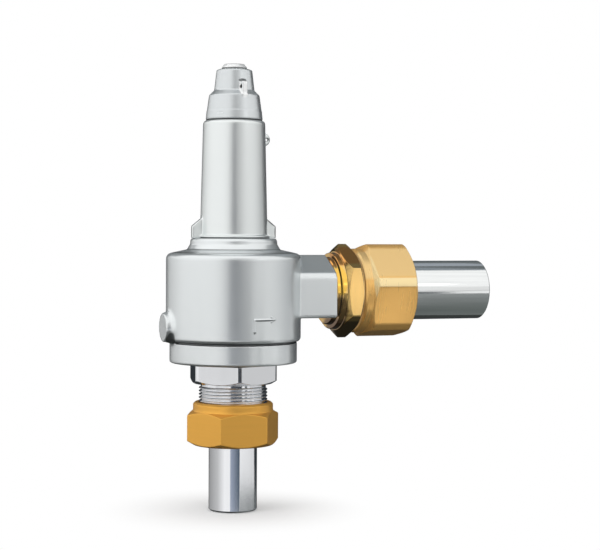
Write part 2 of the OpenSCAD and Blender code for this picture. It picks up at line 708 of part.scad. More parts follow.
// Rod from the disc to the cap, with the collar that carries the lower spring seat
module spindle() {
    edge = spindle_r / 4;
    color(bright_steel) difference() {
        turned([[0, spindle_z], [spindle_r - edge, spindle_z], [spindle_r, spindle_z + edge],
            [spindle_r, lower_seat_z - spindle_collar_h - edge],
            [spindle_collar_d / 2, lower_seat_z - spindle_collar_h + edge],
            [spindle_collar_d / 2, lower_seat_z], [spindle_r, lower_seat_z],
            [spindle_r, spindle_top - edge], [spindle_r - edge, spindle_top], [0, spindle_top]]);
        translate([0, 0, pin_z]) rotate([90, 0, 0])
            cylinder(d = pin_d + 2 * guide_clear, h = 2 * disc_r, center = true);
    }
}

module spindle_pin() {
    color(bright_steel) translate([0, 0, pin_z]) rotate([90, 0, 0])
        cylinder(d = pin_d, h = 2 * (stem_r - free_clear), center = true);
}

module lower_spring_seat() {
    bore_r = spindle_r + free_clear;
    color(inner_steel) turned([[bore_r, lower_seat_z], [spring_seat_r, lower_seat_z],
        [spring_seat_r, spring_z], [spring_pilot_r, spring_z],
        [spring_pilot_r, spring_z + spring_pilot_h], [bore_r, spring_z + spring_pilot_h]]);
}

module upper_spring_seat() {
    bore_r = spindle_r + free_clear;
    color(inner_steel) turned([[bore_r, upper_seat_z - spring_pilot_h],
        [spring_pilot_r, upper_seat_z - spring_pilot_h], [spring_pilot_r, upper_seat_z],
        [spring_seat_r, upper_seat_z], [spring_seat_r, screw_z], [bore_r, screw_z]]);
}

// Helical spring as one unbroken tube, with a closed turn at each end
spring_steps = 16 * spring_turns;
spring_sides = 6;
spring_foot = spring_z + spring_gap + spring_wire / 2;
spring_span = spring_h - 2 * spring_gap - spring_wire;
spring_closed = spring_wire * 1.12;
// Height along the spring after a share t of its turns: slow in the first and last turn
function spring_rise_at(t) = let (u = t * spring_turns)
    u < 1 ? spring_closed * u
    : u > spring_turns - 1 ? spring_span - spring_closed * (spring_turns - u)
    : spring_closed + (spring_span - 2 * spring_closed) * (u - 1) / (spring_turns - 2);
function spring_point(i, side) = let (t = i / spring_steps, a = 360 * spring_turns * t,
        b = 360 * (side + 0.5) / spring_sides, w = spring_wire / 2)
    [(spring_r + w * cos(b)) * cos(a), (spring_r + w * cos(b)) * sin(a),
        spring_foot + spring_rise_at(t) + w * sin(b)];
// Least gap between one turn and the next, measured on the tube's centre line
spring_least_gap = min([for (i = [0 : spring_steps - 16])
    spring_rise_at((i + 16) / spring_steps) - spring_rise_at(i / spring_steps)]) - spring_wire;
echo(spring_least_gap = spring_least_gap);

module spring() {
    points = [for (i = [0 : spring_steps]) for (s = [0 : spring_sides - 1]) spring_point(i, s)];
    last = spring_steps * spring_sides;
    faces = concat(
        [for (i = [0 : spring_steps - 1]) for (s = [0 : spring_sides - 1])
            let (n = (s + 1) % spring_sides, a = i * spring_sides, b = a + spring_sides)
            each [[a + s, b + s, a + n], [a + n, b + s, b + n]]],
        [for (s = [1 : spring_sides - 2]) [0, s, s + 1]],
        [for (s = [1 : spring_sides - 2]) [last, last + s + 1, last + s]]);
    color(bright_steel) polyhedron(points, faces);
}

// Hollow set screw with two flats at its end
module adjusting_screw() {
    edge = screw_pitch / 2;
    color(inner_steel) difference() {
        turned([[0, screw_z], [screw_r - edge, screw_z], [screw_r, screw_z + edge],
            [screw_r, screw_top - edge], [screw_r - edge, screw_top], [0, screw_top]]);
        translate([0, 0, screw_z - cut])
            cylinder(r = spindle_r + free_clear, h = screw_top - screw_z + 2 * cut);
        for (side = [0, 180]) rotate(side)
            translate([screw_flats / 2, -screw_d, screw_top - screw_show + screw_pitch])
                cube([screw_d, 2 * screw_d, screw_show]);
    }
}

module lock_nut() {
    color(inner_steel) difference() {
        hex_bar(lock_nut_af, lock_nut_z, lock_nut_h);
        translate([0, 0, lock_nut_z - cut]) cylinder(r = screw_r + thread_clear, h = lock_nut_h + 2 * cut);
    }
}

module cap_gasket() {
    color(dark_fibre) washer(cap_rim_r - cap_gasket_t / 2, cap_thread_r + free_clear,
        bonnet_top, cap_gasket_t);
}

// Stepped cap: drafted skirt, sloped step, drafted head, crown, and a lug for a seal wire
module cap() {
    color(cast_steel) difference() {
        union() {
            turned(concat(
                [[0, cap_z], [cap_rim_r, cap_z], [cap_step_r, cap_step_z], [cap_head_r, cap_head_z]],
                arc(cap_top_r - cap_crown_h, cap_crown_z - cap_crown_h, cap_crown_h, 0, 70, 2),
                [[plug_head_d / 2, cap_top], [0, cap_top]]));
            rotate(lug_turn) rotate([90, 0, 0]) translate([0, 0, -lug_t / 2]) linear_extrude(lug_t)
                polygon([[cap_head_in_r, cap_step_z - cap_step_h], [cap_step_r, cap_step_z],
                    [cap_step_r, cap_step_z + lug_h], [cap_head_in_r, cap_step_z + lug_h + lug_slope]]);
        }
        turned([[0, cap_z - cut], [cap_thread_r + thread_clear, cap_z - cut],
            [cap_thread_r + thread_clear, cap_thread_top], [cap_nut_r, cap_thread_top + free_clear],
            [cap_nut_r, lock_nut_top], [cap_head_in_r, lock_nut_top + cap_nut_room],
            [cap_head_in_r, cap_in_top], [0, cap_in_top]]);
        cylinder(r = plug_d / 2 + thread_clear, h = cap_top + cut);
        rotate(lug_turn) translate([cap_step_r - wire_hole_d, 0, cap_step_z + lug_h - 1.2 * wire_hole_d])
            rotate([90, 0, 0]) cylinder(d = wire_hole_d, h = lug_t + cut, center = true);
    }
}

// Low round plug in the cap's top
module cap_plug() {
    head_top = cap_top + plug_head_h;
    color(cast_steel) turned([[0, cap_in_top], [plug_d / 2, cap_in_top], [plug_d / 2, cap_top],
        [plug_head_d / 2, cap_top], [plug_head_d / 2, cap_top + plug_head_h / 4],
        [plug_head_d / 2 - 0.7 * plug_head_h, head_top], [0, head_top]]);
}

valve_body();
inlet_nozzle();
nozzle_gasket();
inlet_tail();
inlet_gasket();
inlet_nut();
outlet_adaptor();
outlet_tail();
outlet_gasket();
outlet_nut();
bonnet();
bonnet_gasket();
disc_guide();
disc_holder();
disc_seal();
seal_retainer();
retainer_screw();
spindle();
spindle_pin();
lower_spring_seat();
spring();
upper_spring_seat();
adjusting_screw();
lock_nut();
cap_gasket();
cap();
cap_plug();
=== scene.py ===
"""Dresses an angle pressure relief valve: cast steel, brass unions and polished stub pipes.

All sizes are millimetres in the part's own frame: +Z up along the valve axis from the inlet
stub's open end, +X along the outlet. Meshes become metres when their objects are made.
"""

from __future__ import annotations

import logging
import math
from dataclasses import dataclass
from enum import Enum
from typing import Any, Callable, Iterable, Sequence

import bmesh
import bpy
import numpy as np
from mathutils import Euler, Matrix, Vector


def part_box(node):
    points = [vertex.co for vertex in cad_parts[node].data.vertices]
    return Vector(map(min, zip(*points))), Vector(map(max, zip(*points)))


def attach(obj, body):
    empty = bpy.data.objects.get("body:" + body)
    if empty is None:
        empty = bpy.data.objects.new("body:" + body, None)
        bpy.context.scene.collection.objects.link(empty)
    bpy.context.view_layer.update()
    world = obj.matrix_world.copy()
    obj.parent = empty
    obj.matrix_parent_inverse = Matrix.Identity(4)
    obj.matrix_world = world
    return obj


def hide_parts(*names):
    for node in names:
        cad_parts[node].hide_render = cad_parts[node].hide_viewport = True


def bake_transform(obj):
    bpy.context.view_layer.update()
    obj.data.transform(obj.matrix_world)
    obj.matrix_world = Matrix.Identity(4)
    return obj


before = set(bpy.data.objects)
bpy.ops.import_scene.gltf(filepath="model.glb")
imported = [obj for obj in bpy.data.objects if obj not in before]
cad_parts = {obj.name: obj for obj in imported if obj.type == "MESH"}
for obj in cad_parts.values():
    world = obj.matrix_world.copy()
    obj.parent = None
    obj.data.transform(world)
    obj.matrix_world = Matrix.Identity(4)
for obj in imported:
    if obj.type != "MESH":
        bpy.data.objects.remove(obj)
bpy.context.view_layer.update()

LOG = logging.getLogger("relief_valve")
MM = 0.001
OUTLET_Z = 151.8
CHAMFER = math.tan(math.pi / 6)
TINY = 1e-6
WELD = 2e-6
Point = tuple[float, float]
Place = tuple[float, float, float]
Colour = tuple[float, float, float]
Shell = tuple[np.ndarray, list[tuple[int, ...]]]
Field = Callable[[np.ndarray, np.ndarray, np.ndarray], np.ndarray]


class Axis(Enum):
    """The two axes that turned pieces are built along."""

    VALVE = "valve"
    OUTLET = "outlet"


class ToolMarks(Enum):
    """Direction in which a finish's fine marks run."""

    NONE = (1.0, 1.0, 1.0)
    LEVEL = (0.05, 0.05, 1.0)
    UPRIGHT = (1.0, 1.0, 0.03)
    ROUND_OUTLET = (1.0, 0.05, 0.05)
    ALONG_OUTLET = (0.03, 1.0, 1.0)


class Wire:
    """An output socket that adds Math nodes when it takes part in an expression."""

    def __init__(self, graph: "Graph", socket: bpy.types.NodeSocket) -> None:
        """Keeps the socket and the graph that it belongs to."""
        self.graph = graph
        self.socket = socket

    def __add__(self, other: Any) -> "Wire":
        """Sum of this socket and another value."""
        return self.graph.math("ADD", self, other)

    def __sub__(self, other: Any) -> "Wire":
        """Difference of this socket and another value."""
        return self.graph.math("SUBTRACT", self, other)

    def __rsub__(self, other: Any) -> "Wire":
        """Difference with this socket on the right."""
        return self.graph.math("SUBTRACT", other, self)

    def __mul__(self, other: Any) -> "Wire":
        """Product of this socket and another value."""
        return self.graph.math("MULTIPLY", self, other)

    def __truediv__(self, other: Any) -> "Wire":
        """Quotient of this socket and another value."""
        return self.graph.math("DIVIDE", self, other)

    def least(self, other: Any) -> "Wire":
        """The smaller of this socket and another value."""
        return self.graph.math("MINIMUM", self, other)

    def most(self, other: Any) -> "Wire":
        """The larger of this socket and another value."""
        return self.graph.math("MAXIMUM", self, other)

    def ramp(self, low: float, high: float) -> "Wire":
        """0 below low, 1 above high and smooth between them."""
        node = self.graph.node("ShaderNodeMapRange", {"interpolation_type": "SMOOTHSTEP"},
                               {"Value": self, "From Min": low, "From Max": high})
        return Wire(self.graph, node.outputs[0])


class Graph:
    """Makes and links the nodes of one shader or geometry tree."""

    def __init__(self, tree: bpy.types.NodeTree) -> None:
        """Takes over a tree and empties it."""
        self.tree = tree
        tree.nodes.clear()

    def node(self, kind: str, settings: dict[str, Any] | None = None,
             sockets: dict[Any, Any] | None = None) -> bpy.types.Node:
        """Adds a node, sets it up and fills its sockets.

        Args:
            kind: The node's type name.
            settings: Properties that are set before the sockets.
            sockets: Values or wires, by a socket's name or number.

        Returns:
            The new node.
        """
        node = self.tree.nodes.new(kind)
        for name, value in (settings or {}).items():
            setattr(node, name, value)
        for key, value in (sockets or {}).items():
            self.feed(node.inputs[key], value)
        return node

    def feed(self, socket: bpy.types.NodeSocket, value: Any) -> None:
        """Links a wire or an output socket to an input, or sets the input's value."""
        if isinstance(value, Wire):
            self.tree.links.new(value.socket, socket)
        elif isinstance(value, bpy.types.NodeSocket):
            self.tree.links.new(value, socket)
        else:
            socket.default_value = value

    def math(self, operation: str, *values: Any) -> Wire:
        """Adds a Math node on up to three values."""
        node = self.node("ShaderNodeMath", {"operation": operation}, dict(enumerate(values)))
        return Wire(self, node.outputs[0])

    def blend(self, factor: Any, first: Any, second: Any) -> bpy.types.NodeSocket:
        """Mixes two colours."""
        node = self.node("ShaderNodeMix", {"data_type": "RGBA"}, {0: factor, 6: first, 7: second})
        return node.outputs[2]

    def noise(self, place: Any, scale: float, detail: float = 2.0) -> Wire:
        """Noise of a given scale, around 0.5."""
        node = self.node("ShaderNodeTexNoise", {"normalize": True},
                         {"Vector": place, "Scale": scale, "Detail": detail})
        return Wire(self, node.outputs["Fac"])

    def seen(self) -> Wire:
        """1 for what the camera, a reflection or glass looks at, and 0 for light that only falls."""
        path = self.node("ShaderNodeLightPath")
        camera, glossy, glass = (Wire(self, path.outputs[name]) for name in (
            "Is Camera Ray", "Is Glossy Ray", "Is Transmission Ray"))
        return camera.most(glossy).most(glass)


def blank_material(name: str) -> tuple[bpy.types.Material, Graph]:
    """A new material and its empty node graph."""
    material = bpy.data.materials.new(name)
    material.use_nodes = True
    return material, Graph(material.node_tree)


def add_object(name: str, data: bpy.types.ID) -> bpy.types.Object:
    """Adds an object with a mesh, a lamp or a camera to the scene."""
    thing = bpy.data.objects.new(name, data)
    bpy.context.scene.collection.objects.link(thing)
    return thing


@dataclass(frozen=True)
class PaintedLight:
    """A place where a finish has painted light or shade instead of its own tone; the default colour is a
    painted dark shade.

    Its sizes are half widths in millimetres along X, Y and Z, and 0 leaves a direction open. In a
    turned one X is the distance from the valve's axis. A tilt turns the sizes about Y, in degrees.
    """

    centre: Place
    sizes: Place
    paint_share: float
    turned: bool = False
    tilt: float = 0.0
    colour: Colour = (0.02, 0.022, 0.022)

    EDGE = (0.82, 1.08)

    def mask(self, graph: Graph, place: bpy.types.NodeSocket) -> Wire:
        """How strongly a place takes the painted light or shade, from 0 to its full share."""
        split = graph.node("ShaderNodeSeparateXYZ", None, {0: place})
        x, y, z = (Wire(graph, socket) for socket in split.outputs)
        if self.turned:
            x = graph.math("SQRT", x * x + y * y)
        x, y, z = (wire - middle * MM for wire, middle in zip((x, y, z), self.centre))
        turn = math.radians(self.tilt)
        offsets = (x * math.cos(turn) + z * math.sin(turn), y, z * math.cos(turn) - x * math.sin(turn))
        reach = None
        for offset, size in zip(offsets, self.sizes):
            if size:
                part = offset / (size * MM)
                reach = part * part if reach is None else reach + part * part
        return (1.0 - graph.math("SQRT", reach).ramp(*self.EDGE)) * self.paint_share


@dataclass(frozen=True)
class Finish:
    """A metal or plain finish and the marks that it shows. Its matt share is a duller second surface, and its
    painted light puts fixed shadows, outlines, highlights and reflections into its colour.
    """

    name: str
    slot: str
    colour: Colour
    roughness: float
    metallic: float = 1.0
    mottle: float = 0.06
    grain: float = 1200.0
    grain_depth: float = 0.02
    marks: ToolMarks = ToolMarks.NONE
    mark_depth: float = 0.0
    mark_roughness: float = 0.0
    mark_scale: float = 900.0
    mark_tint: float = 0.0
    matt_share: float = 0.0
    matt_roughness: float = 0.65
    matt_metallic: float = 1.0
    painted_light: tuple[PaintedLight, ...] = ()

    PATCH_SCALE = 30.0
    PATCH_ROUGHNESS = 0.2
    MARK_GAIN = 2.5

    def make(self) -> bpy.types.Material:
        """Builds the material.

        Returns:
            A material whose patches, grain, marks and painted light and shade lie in Object coordinates.
        """
        material, graph = blank_material(self.name)
        place = graph.node("ShaderNodeTexCoord").outputs["Object"]
        patches = graph.noise(place, self.PATCH_SCALE, 1.0) - 0.5
        grain = graph.noise(place, self.grain, 2.0)
        stretched = graph.node("ShaderNodeVectorMath", {"operation": "MULTIPLY"},
                               {0: place, 1: self.marks.value}).outputs[0]
        marks = graph.noise(stretched, self.mark_scale, 3.0)
        dark = tuple(c * (1.0 - self.mottle) for c in self.colour) + (1.0,)
        light = tuple(min(1.0, c * (1.0 + self.mottle)) for c in self.colour) + (1.0,)
        tone = patches * (1.0 - self.mark_tint) + (marks - 0.5) * (self.MARK_GAIN * self.mark_tint) + 0.5
        colour = graph.blend(tone.most(0.0).least(1.0), dark, light)
        # Painted light and shade: fixed shadows, dark outlines, highlights and reflections mixed into the
        # colour.
        for painted_spot in self.painted_light:
            colour = graph.blend(painted_spot.mask(graph, place), colour, (*painted_spot.colour, 1.0))
        rough = (patches * (self.PATCH_ROUGHNESS * self.roughness) + (marks - 0.5) * self.mark_roughness
                 + self.roughness)
        height = grain * self.grain_depth + marks * self.mark_depth
        bump = graph.node("ShaderNodeBump", None, {"Strength": 1.0, "Distance": MM, "Height": height})
        clear = graph.node("ShaderNodeBsdfPrincipled", None, {
            "Base Color": colour, "Metallic": self.metallic, "Roughness": rough.most(0.02).least(0.95),
            "Normal": bump.outputs[0]})
        surface = clear.outputs[0]
        if self.matt_share > 0:
            matt = graph.node("ShaderNodeBsdfPrincipled", None, {
                "Base Color": colour, "Metallic": self.matt_metallic, "Roughness": self.matt_roughness,
                "Normal": bump.outputs[0]})
            surface = graph.node("ShaderNodeMixShader", None, {
                0: self.matt_share, 1: clear.outputs[0], 2: matt.outputs[0]}).outputs[0]
        graph.node("ShaderNodeOutputMaterial", None, {"Surface": surface})
        return material


CASTING: dict[str, Any] = {
    "grain": 600.0, "grain_depth": 0.004, "marks": ToolMarks.LEVEL, "mark_depth": 0.0008, "mark_scale": 420.0,
    "matt_share": 0.35, "matt_roughness": 0.5, "matt_metallic": 0.75}
BRASSWARE: dict[str, Any] = {"mottle": 0.03, "grain": 500.0, "mark_scale": 500.0}
# Colour of the painted highlights on the outlet nut.
PAINTED_BRASS_HIGHLIGHT = (1.0, 0.8, 0.43)

# Painted shade on the body: shadows and dark reflections at fixed places.
BODY_PAINTED_SHADE = (
    PaintedLight((43.6, 0.0, 118.0), (2.7, 0.0, 1.25), 0.93, turned=True),  # painted shade in the groove over the ring
    PaintedLight((-46.8, -6.0, 121.0), (3.8, 6.0, 6.0), 0.72),  # painted shadow below the blank boss
    PaintedLight((32.5, 0.0, 181.3), (1.2, 0.0, 0.5), 0.4, turned=True),  # painted shade at the foot of the neck
    PaintedLight((41.8, 0.0, 179.1), (1.9, 0.0, 0.9), 0.4, turned=True),  # painted shade at the edge of the rim
    PaintedLight((7.6, -46.0, 133.9), (8.2, 10.0, 0.42), 0.85),  # painted shadow below the arrow's shaft
    PaintedLight((-0.3, -46.9, 126.0), (1.2, 6.0, 0.42), 0.8))  # painted shadow at the arrow's foot
BONNET_PAINTED_SHADE = (
    PaintedLight((26.3, 0.0, 257.7), (1.5, 4.0, 5.0), 0.75),  # painted shade outlining the ear's rim
    PaintedLight((23.1, 0.0, 257.7), (1.6, 4.0, 1.6), 0.97),  # painted shade in the ear's wire hole
    PaintedLight((30.6, -2.2, 193.5), (1.3, 1.2, 6.0), 0.85),  # painted shade along the right rib's upright edge
    PaintedLight((26.8, -2.2, 200.2), (5.4, 1.2, 1.1), 0.85, tilt=-38.8),  # painted shade along its sloping edge
    PaintedLight((-30.6, 1.3, 193.5), (1.3, 1.6, 6.0), 0.8),  # painted shade along the left rib's upright edge
    PaintedLight((-26.8, 1.3, 200.2), (5.4, 1.6, 1.0), 0.8, tilt=38.8))  # painted shade along its sloping edge
CAP_PAINTED_LIGHT = (
    PaintedLight((1.9, -15.6, 292.3), (3.6, 4.6, 8.0), 1.0, colour=(0.95, 0.96, 0.96)),  # painted highlight on the seal lug
    PaintedLight((1.8, -14.8, 297.6), (3.4, 5.0, 1.3), 0.75),  # painted shade on the lug's top
    PaintedLight((0.2, -15.2, 293.2), (1.6, 1.6, 1.6), 0.93))  # painted shade in the lug's wire hole
PLUG_PAINTED_SHADE = (
    PaintedLight((8.7, 0.0, 306.5), (1.0, 0.0, 0.45), 0.8, turned=True),  # painted shade at the joint with the cap
    PaintedLight((0.0, 0.0, 309.5), (0.0, 0.0, 0.5), 0.55))  # painted shade on the top face
OUTLET_NUT_PAINTED_HIGHLIGHTS = (
    PaintedLight((110.0, -23.1, 172.5), (0.0, 15.0, 13.0), 0.6, colour=(0.97, 0.73, 0.355)),  # painted sheen on the upper side
    PaintedLight((110.0, -33.4, 158.8), (0.0, 4.0, 3.3), 1.0, colour=PAINTED_BRASS_HIGHLIGHT),  # painted highlight along the front corner
    PaintedLight((95.0, -34.0, 165.0), (1.5, 22.0, 17.0), 0.7, colour=PAINTED_BRASS_HIGHLIGHT))  # painted highlight on the near chamfer
ADAPTOR_PAINTED_LIGHT = (
    PaintedLight((81.0, -14.5, 178.0), (0.0, 14.0, 9.0), 0.9, colour=(0.88, 0.4, 0.11)),  # painted reflection, darker, on the upper side
    PaintedLight((81.0, -12.0, 124.0), (0.0, 18.0, 9.5), 0.8, colour=(0.12, 0.075, 0.04)),  # painted shade on the underside
    PaintedLight((71.0, -24.0, 160.0), (4.2, 14.0, 11.0), 0.9, colour=(1.0, 0.6, 0.1)),  # painted reflection, bright, on the collar's upper front
    PaintedLight((71.0, -20.0, 136.0), (5.0, 30.0, 14.0), 0.75, colour=(0.2, 0.11, 0.06)))  # painted shade on the collar's lower front

CAST_BODY = Finish("cast_steel_body", "cast_steel", (0.82, 0.85, 0.855), 0.25, mottle=0.02,
                   mark_roughness=0.05, painted_light=BODY_PAINTED_SHADE, **CASTING)
CAST_STEEL = Finish("cast_steel_satin", "cast_steel", (0.865, 0.895, 0.89), 0.24, mottle=0.015,
                    mark_roughness=0.04, painted_light=BONNET_PAINTED_SHADE, **CASTING)
CAP_STEEL = Finish("cast_steel_cap", "cast_steel", (0.735, 0.765, 0.775), 0.26, mottle=0.015,
                   mark_roughness=0.04, painted_light=CAP_PAINTED_LIGHT, **CASTING)
CAP_PLUG = Finish("turned_plug", "cast_steel", (0.94, 0.95, 0.95), 0.3, mottle=0.01, grain_depth=0.002,
                  matt_share=0.6, matt_roughness=0.5, matt_metallic=0.2, painted_light=PLUG_PAINTED_SHADE)
POLISHED = Finish("polished_steel", "bright_steel", (0.84, 0.85, 0.87), 0.09, mottle=0.03, grain=300.0,
                  grain_depth=0.004, marks=ToolMarks.UPRIGHT, mark_roughness=0.06, mark_scale=260.0)
POLISHED_OUTLET = Finish("polished_steel_outlet", "bright_steel", (0.87, 0.885, 0.88), 0.10, mottle=0.07,
                         grain=300.0, grain_depth=0.004, marks=ToolMarks.ALONG_OUTLET, mark_depth=0.003,
                         mark_roughness=0.10, mark_scale=420.0, mark_tint=0.8)
BRASS = Finish("satin_brass", "brass", (0.87, 0.455, 0.082), 0.32, grain_depth=0.004, marks=ToolMarks.LEVEL,
               mark_depth=0.002, mark_roughness=0.05, mark_tint=0.4, matt_share=0.55, matt_roughness=0.55,
               matt_metallic=0.35, **BRASSWARE)
# The outlet nut's brass is paler than the inlet nut's: painted sheen.
BRASS_OUTLET = Finish("satin_brass_outlet", "brass", (0.90, 0.525, 0.158), 0.28, grain_depth=0.004,
                      marks=ToolMarks.ROUND_OUTLET, mark_depth=0.0002, mark_roughness=0.03, mark_tint=0.3,
                      matt_share=0.55, matt_roughness=0.55, matt_metallic=0.3,
                      painted_light=OUTLET_NUT_PAINTED_HIGHLIGHTS, **BRASSWARE)
BRIGHT_BRASS = Finish("turned_brass", "brass", (0.93, 0.60, 0.215), 0.14, grain_depth=0.002,
                      marks=ToolMarks.ROUND_OUTLET, mark_depth=0.0006, mark_roughness=0.05,
                      painted_light=ADAPTOR_PAINTED_LIGHT, **BRASSWARE)
INNER_STEEL = Finish("turned_steel", "inner_steel", (0.62, 0.63, 0.65), 0.28, marks=ToolMarks.LEVEL,
                     mark_depth=0.02, mark_roughness=0.10)
WHITE_SEAL = Finish("white_seal", "white_plastic", (0.86, 0.85, 0.80), 0.45, metallic=0.0)
DARK_FIBRE = Finish("dark_fibre", "dark_fibre", (0.035, 0.035, 0.038), 0.7, metallic=0.0, mottle=0.3)
FINISHES = (CAST_BODY, CAST_STEEL, CAP_STEEL, CAP_PLUG, POLISHED, POLISHED_OUTLET, BRASS, BRASS_OUTLET,
            BRIGHT_BRASS, INNER_STEEL, WHITE_SEAL, DARK_FIBRE)
# The most that a rounding and its support take of a side, and the half angle of a straight corner.
ROUNDING_SHARE = 0.42
SUPPORT_SHARE = 0.05
STRAIGHT = 0.4999 * math.pi


def rounded_path(points: Sequence[Point], radii: Sequence[float], steps: int = 4,
                 support: float = 0.12) -> np.ndarray:
    """Rounds the corners of a closed outline.

    Args:
        points: The outline's corners, as radius and height.
        radii: The rounding at each corner; 0 keeps it sharp.
        steps: Segments in each rounded corner.
        support: Length of the short segment beside each rounding, which keeps faces flat.

    Returns:
        The new points, always the same number for the same corners.
    """
    result: list[Point] = []
    count = len(points)
    for i, (corner, radius) in enumerate(zip(points, radii)):
        if radius <= 0:
            result.append(corner)
            continue
        here = np.array(corner)
        before = np.array(points[i - 1]) - here
        after = np.array(points[(i + 1) % count]) - here
        long_before = max(np.linalg.norm(before), TINY)
        long_after = max(np.linalg.norm(after), TINY)
        before /= long_before
        after /= long_after
        half = 0.5 * math.acos(max(-1.0, min(1.0, float(before @ after))))
        room = ROUNDING_SHARE * min(long_before, long_after)
        reach = min(radius / max(math.tan(half), TINY), room)
        middle = before + after
        length = np.linalg.norm(middle)
        if length < TINY or half > STRAIGHT:
            result.extend([corner] * (steps + 3))
            continue
        centre = here + middle / length * (reach / max(math.cos(half), TINY))
        start = here + before * reach - centre
        turn = math.pi - 2.0 * half
        if before[0] * after[1] - before[1] * after[0] > 0:
            turn = -turn
        spare = min(support, SUPPORT_SHARE * min(long_before, long_after))
        result.append(tuple(here + before * (reach + spare)))
        for k in range(steps + 1):
            a = turn * k / steps
            spun = (start[0] * math.cos(a) - start[1] * math.sin(a),
                    start[0] * math.sin(a) + start[1] * math.cos(a))
            result.append((centre[0] + spun[0], centre[1] + spun[1]))
        result.append(tuple(here + after * (reach + spare)))
    return np.array(result)


def hexagon_radius(apothem: float, rounding: float, angle: float) -> float:
    """Distance from the axis to a hexagon with rounded corners.

    Args:
        apothem: Half the width across flats.
        rounding: Radius of the corners.
        angle: Angle from a corner, in degrees.

    Returns:
        The distance in that direction.
    """
    away = math.radians(abs((angle + 30.0) % 60.0 - 30.0))
    centre = (apothem - rounding) / math.cos(math.pi / 6)
    tangent = math.atan2(rounding * 0.5, centre + rounding * math.cos(math.pi / 6))
    if away < tangent:
        return centre * math.cos(away) + math.sqrt(rounding ** 2 - (centre * math.sin(away)) ** 2)
    return apothem / math.cos(math.pi / 6 - away)


def hexagon_angles(turn: float, corner: float = 2.6) -> np.ndarray:
    """Angles around a hexagon, close together at its corners, in degrees."""
    offsets = np.concatenate([np.linspace(-corner, corner, 7), [corner + 0.3], np.linspace(5.0, 55.0, 19),
                              [60.0 - corner - 0.3]])
    return np.concatenate([turn + 60.0 * k + offsets for k in range(6)])


def swept_shell(profile: Callable[[float], np.ndarray], angles: Iterable[float],
                axis: Axis = Axis.VALVE) -> Shell:
    """Sweeps a closed outline around an axis.

    Args:
        profile: Gives the outline's radius and place along the axis for an angle in degrees.
        angles: Angles of the sections, in order.
        axis: The axis to sweep around.

    Returns:
        Points and faces of a closed shell.
    """
    rings = []
    turns = list(angles)
    for angle in turns:
        outline = profile(angle)
        a = math.radians(angle)
        ring = np.empty((len(outline), 3))
        if axis is Axis.VALVE:
            ring[:, 0] = outline[:, 0] * math.cos(a)
            ring[:, 1] = outline[:, 0] * math.sin(a)
            ring[:, 2] = outline[:, 1]
        else:
            ring[:, 0] = outline[:, 1]
            ring[:, 1] = outline[:, 0] * math.sin(a)
            ring[:, 2] = OUTLET_Z - outline[:, 0] * math.cos(a)
        rings.append(ring)
    size = len(rings[0])
    count = len(rings)
    faces = []
    for i in range(count):
        low, high = i * size, (i + 1) % count * size
        for k in range(size):
            n = (k + 1) % size
            faces.append((low + k, high + k, high + n, low + n))
    return np.concatenate(rings), faces


def turned_shell(points: Sequence[Point], radii: Sequence[float], axis: Axis = Axis.VALVE,
                 segments: int = 120, steps: int = 4) -> Shell:
    """Turns one rounded outline around an axis."""
    outline = rounded_path(points, radii, steps)
    return swept_shell(lambda angle: outline, np.arange(segments) * 360.0 / segments, axis)


def ring_shell(radii: Point, heights: Point, rounding: float = 0.1) -> Shell:
    """A flat ring between two radii and two heights."""
    inner, outer = radii
    low, high = heights
    return turned_shell([(inner, low), (outer, low), (outer, high), (inner, high)], [rounding] * 4)


def make_piece(name: str, shells: Sequence[Shell], material: bpy.types.Material) -> bpy.types.Object:
    """Makes one object of closed shells.

    Args:
        name: The object's name.
        shells: Points in millimetres, and faces.
        material: The finish for the whole piece.

    Returns:
        The object, with faces that point outwards.
    """
    mesh = bpy.data.meshes.new(name)
    points: list[Any] = []
    faces: list[tuple[int, ...]] = []
    for shell_points, shell_faces in shells:
        base = len(points)
        points.extend((np.asarray(shell_points) * MM).tolist())
        faces.extend(tuple(base + i for i in face) for face in shell_faces)
    mesh.from_pydata(points, [], faces)
    clean = bmesh.new()
    clean.from_mesh(mesh)
    bmesh.ops.remove_doubles(clean, verts=clean.verts, dist=WELD)
    bmesh.ops.dissolve_degenerate(clean, edges=clean.edges, dist=TINY)
    bmesh.ops.recalc_face_normals(clean, faces=clean.faces)
    clean.to_mesh(mesh)
    clean.free()
    mesh.shade_smooth()
    mesh.materials.append(material)
    return add_object(name, mesh)


def soft_join(a: np.ndarray, b: np.ndarray, radius: float) -> np.ndarray:
    """Union of two distance fields with a round fillet."""
    u = np.maximum(radius - a, 0.0)
    v = np.maximum(radius - b, 0.0)
    return np.maximum(radius, np.minimum(a, b)) - np.sqrt(u * u + v * v)


def soft_meet(a: np.ndarray, b: np.ndarray, radius: float) -> np.ndarray:
    """Intersection of two distance fields with a rounded edge."""
    u = np.maximum(radius + a, 0.0)
    v = np.maximum(radius + b, 0.0)
    return np.minimum(-radius, np.maximum(a, b)) + np.sqrt(u * u + v * v)


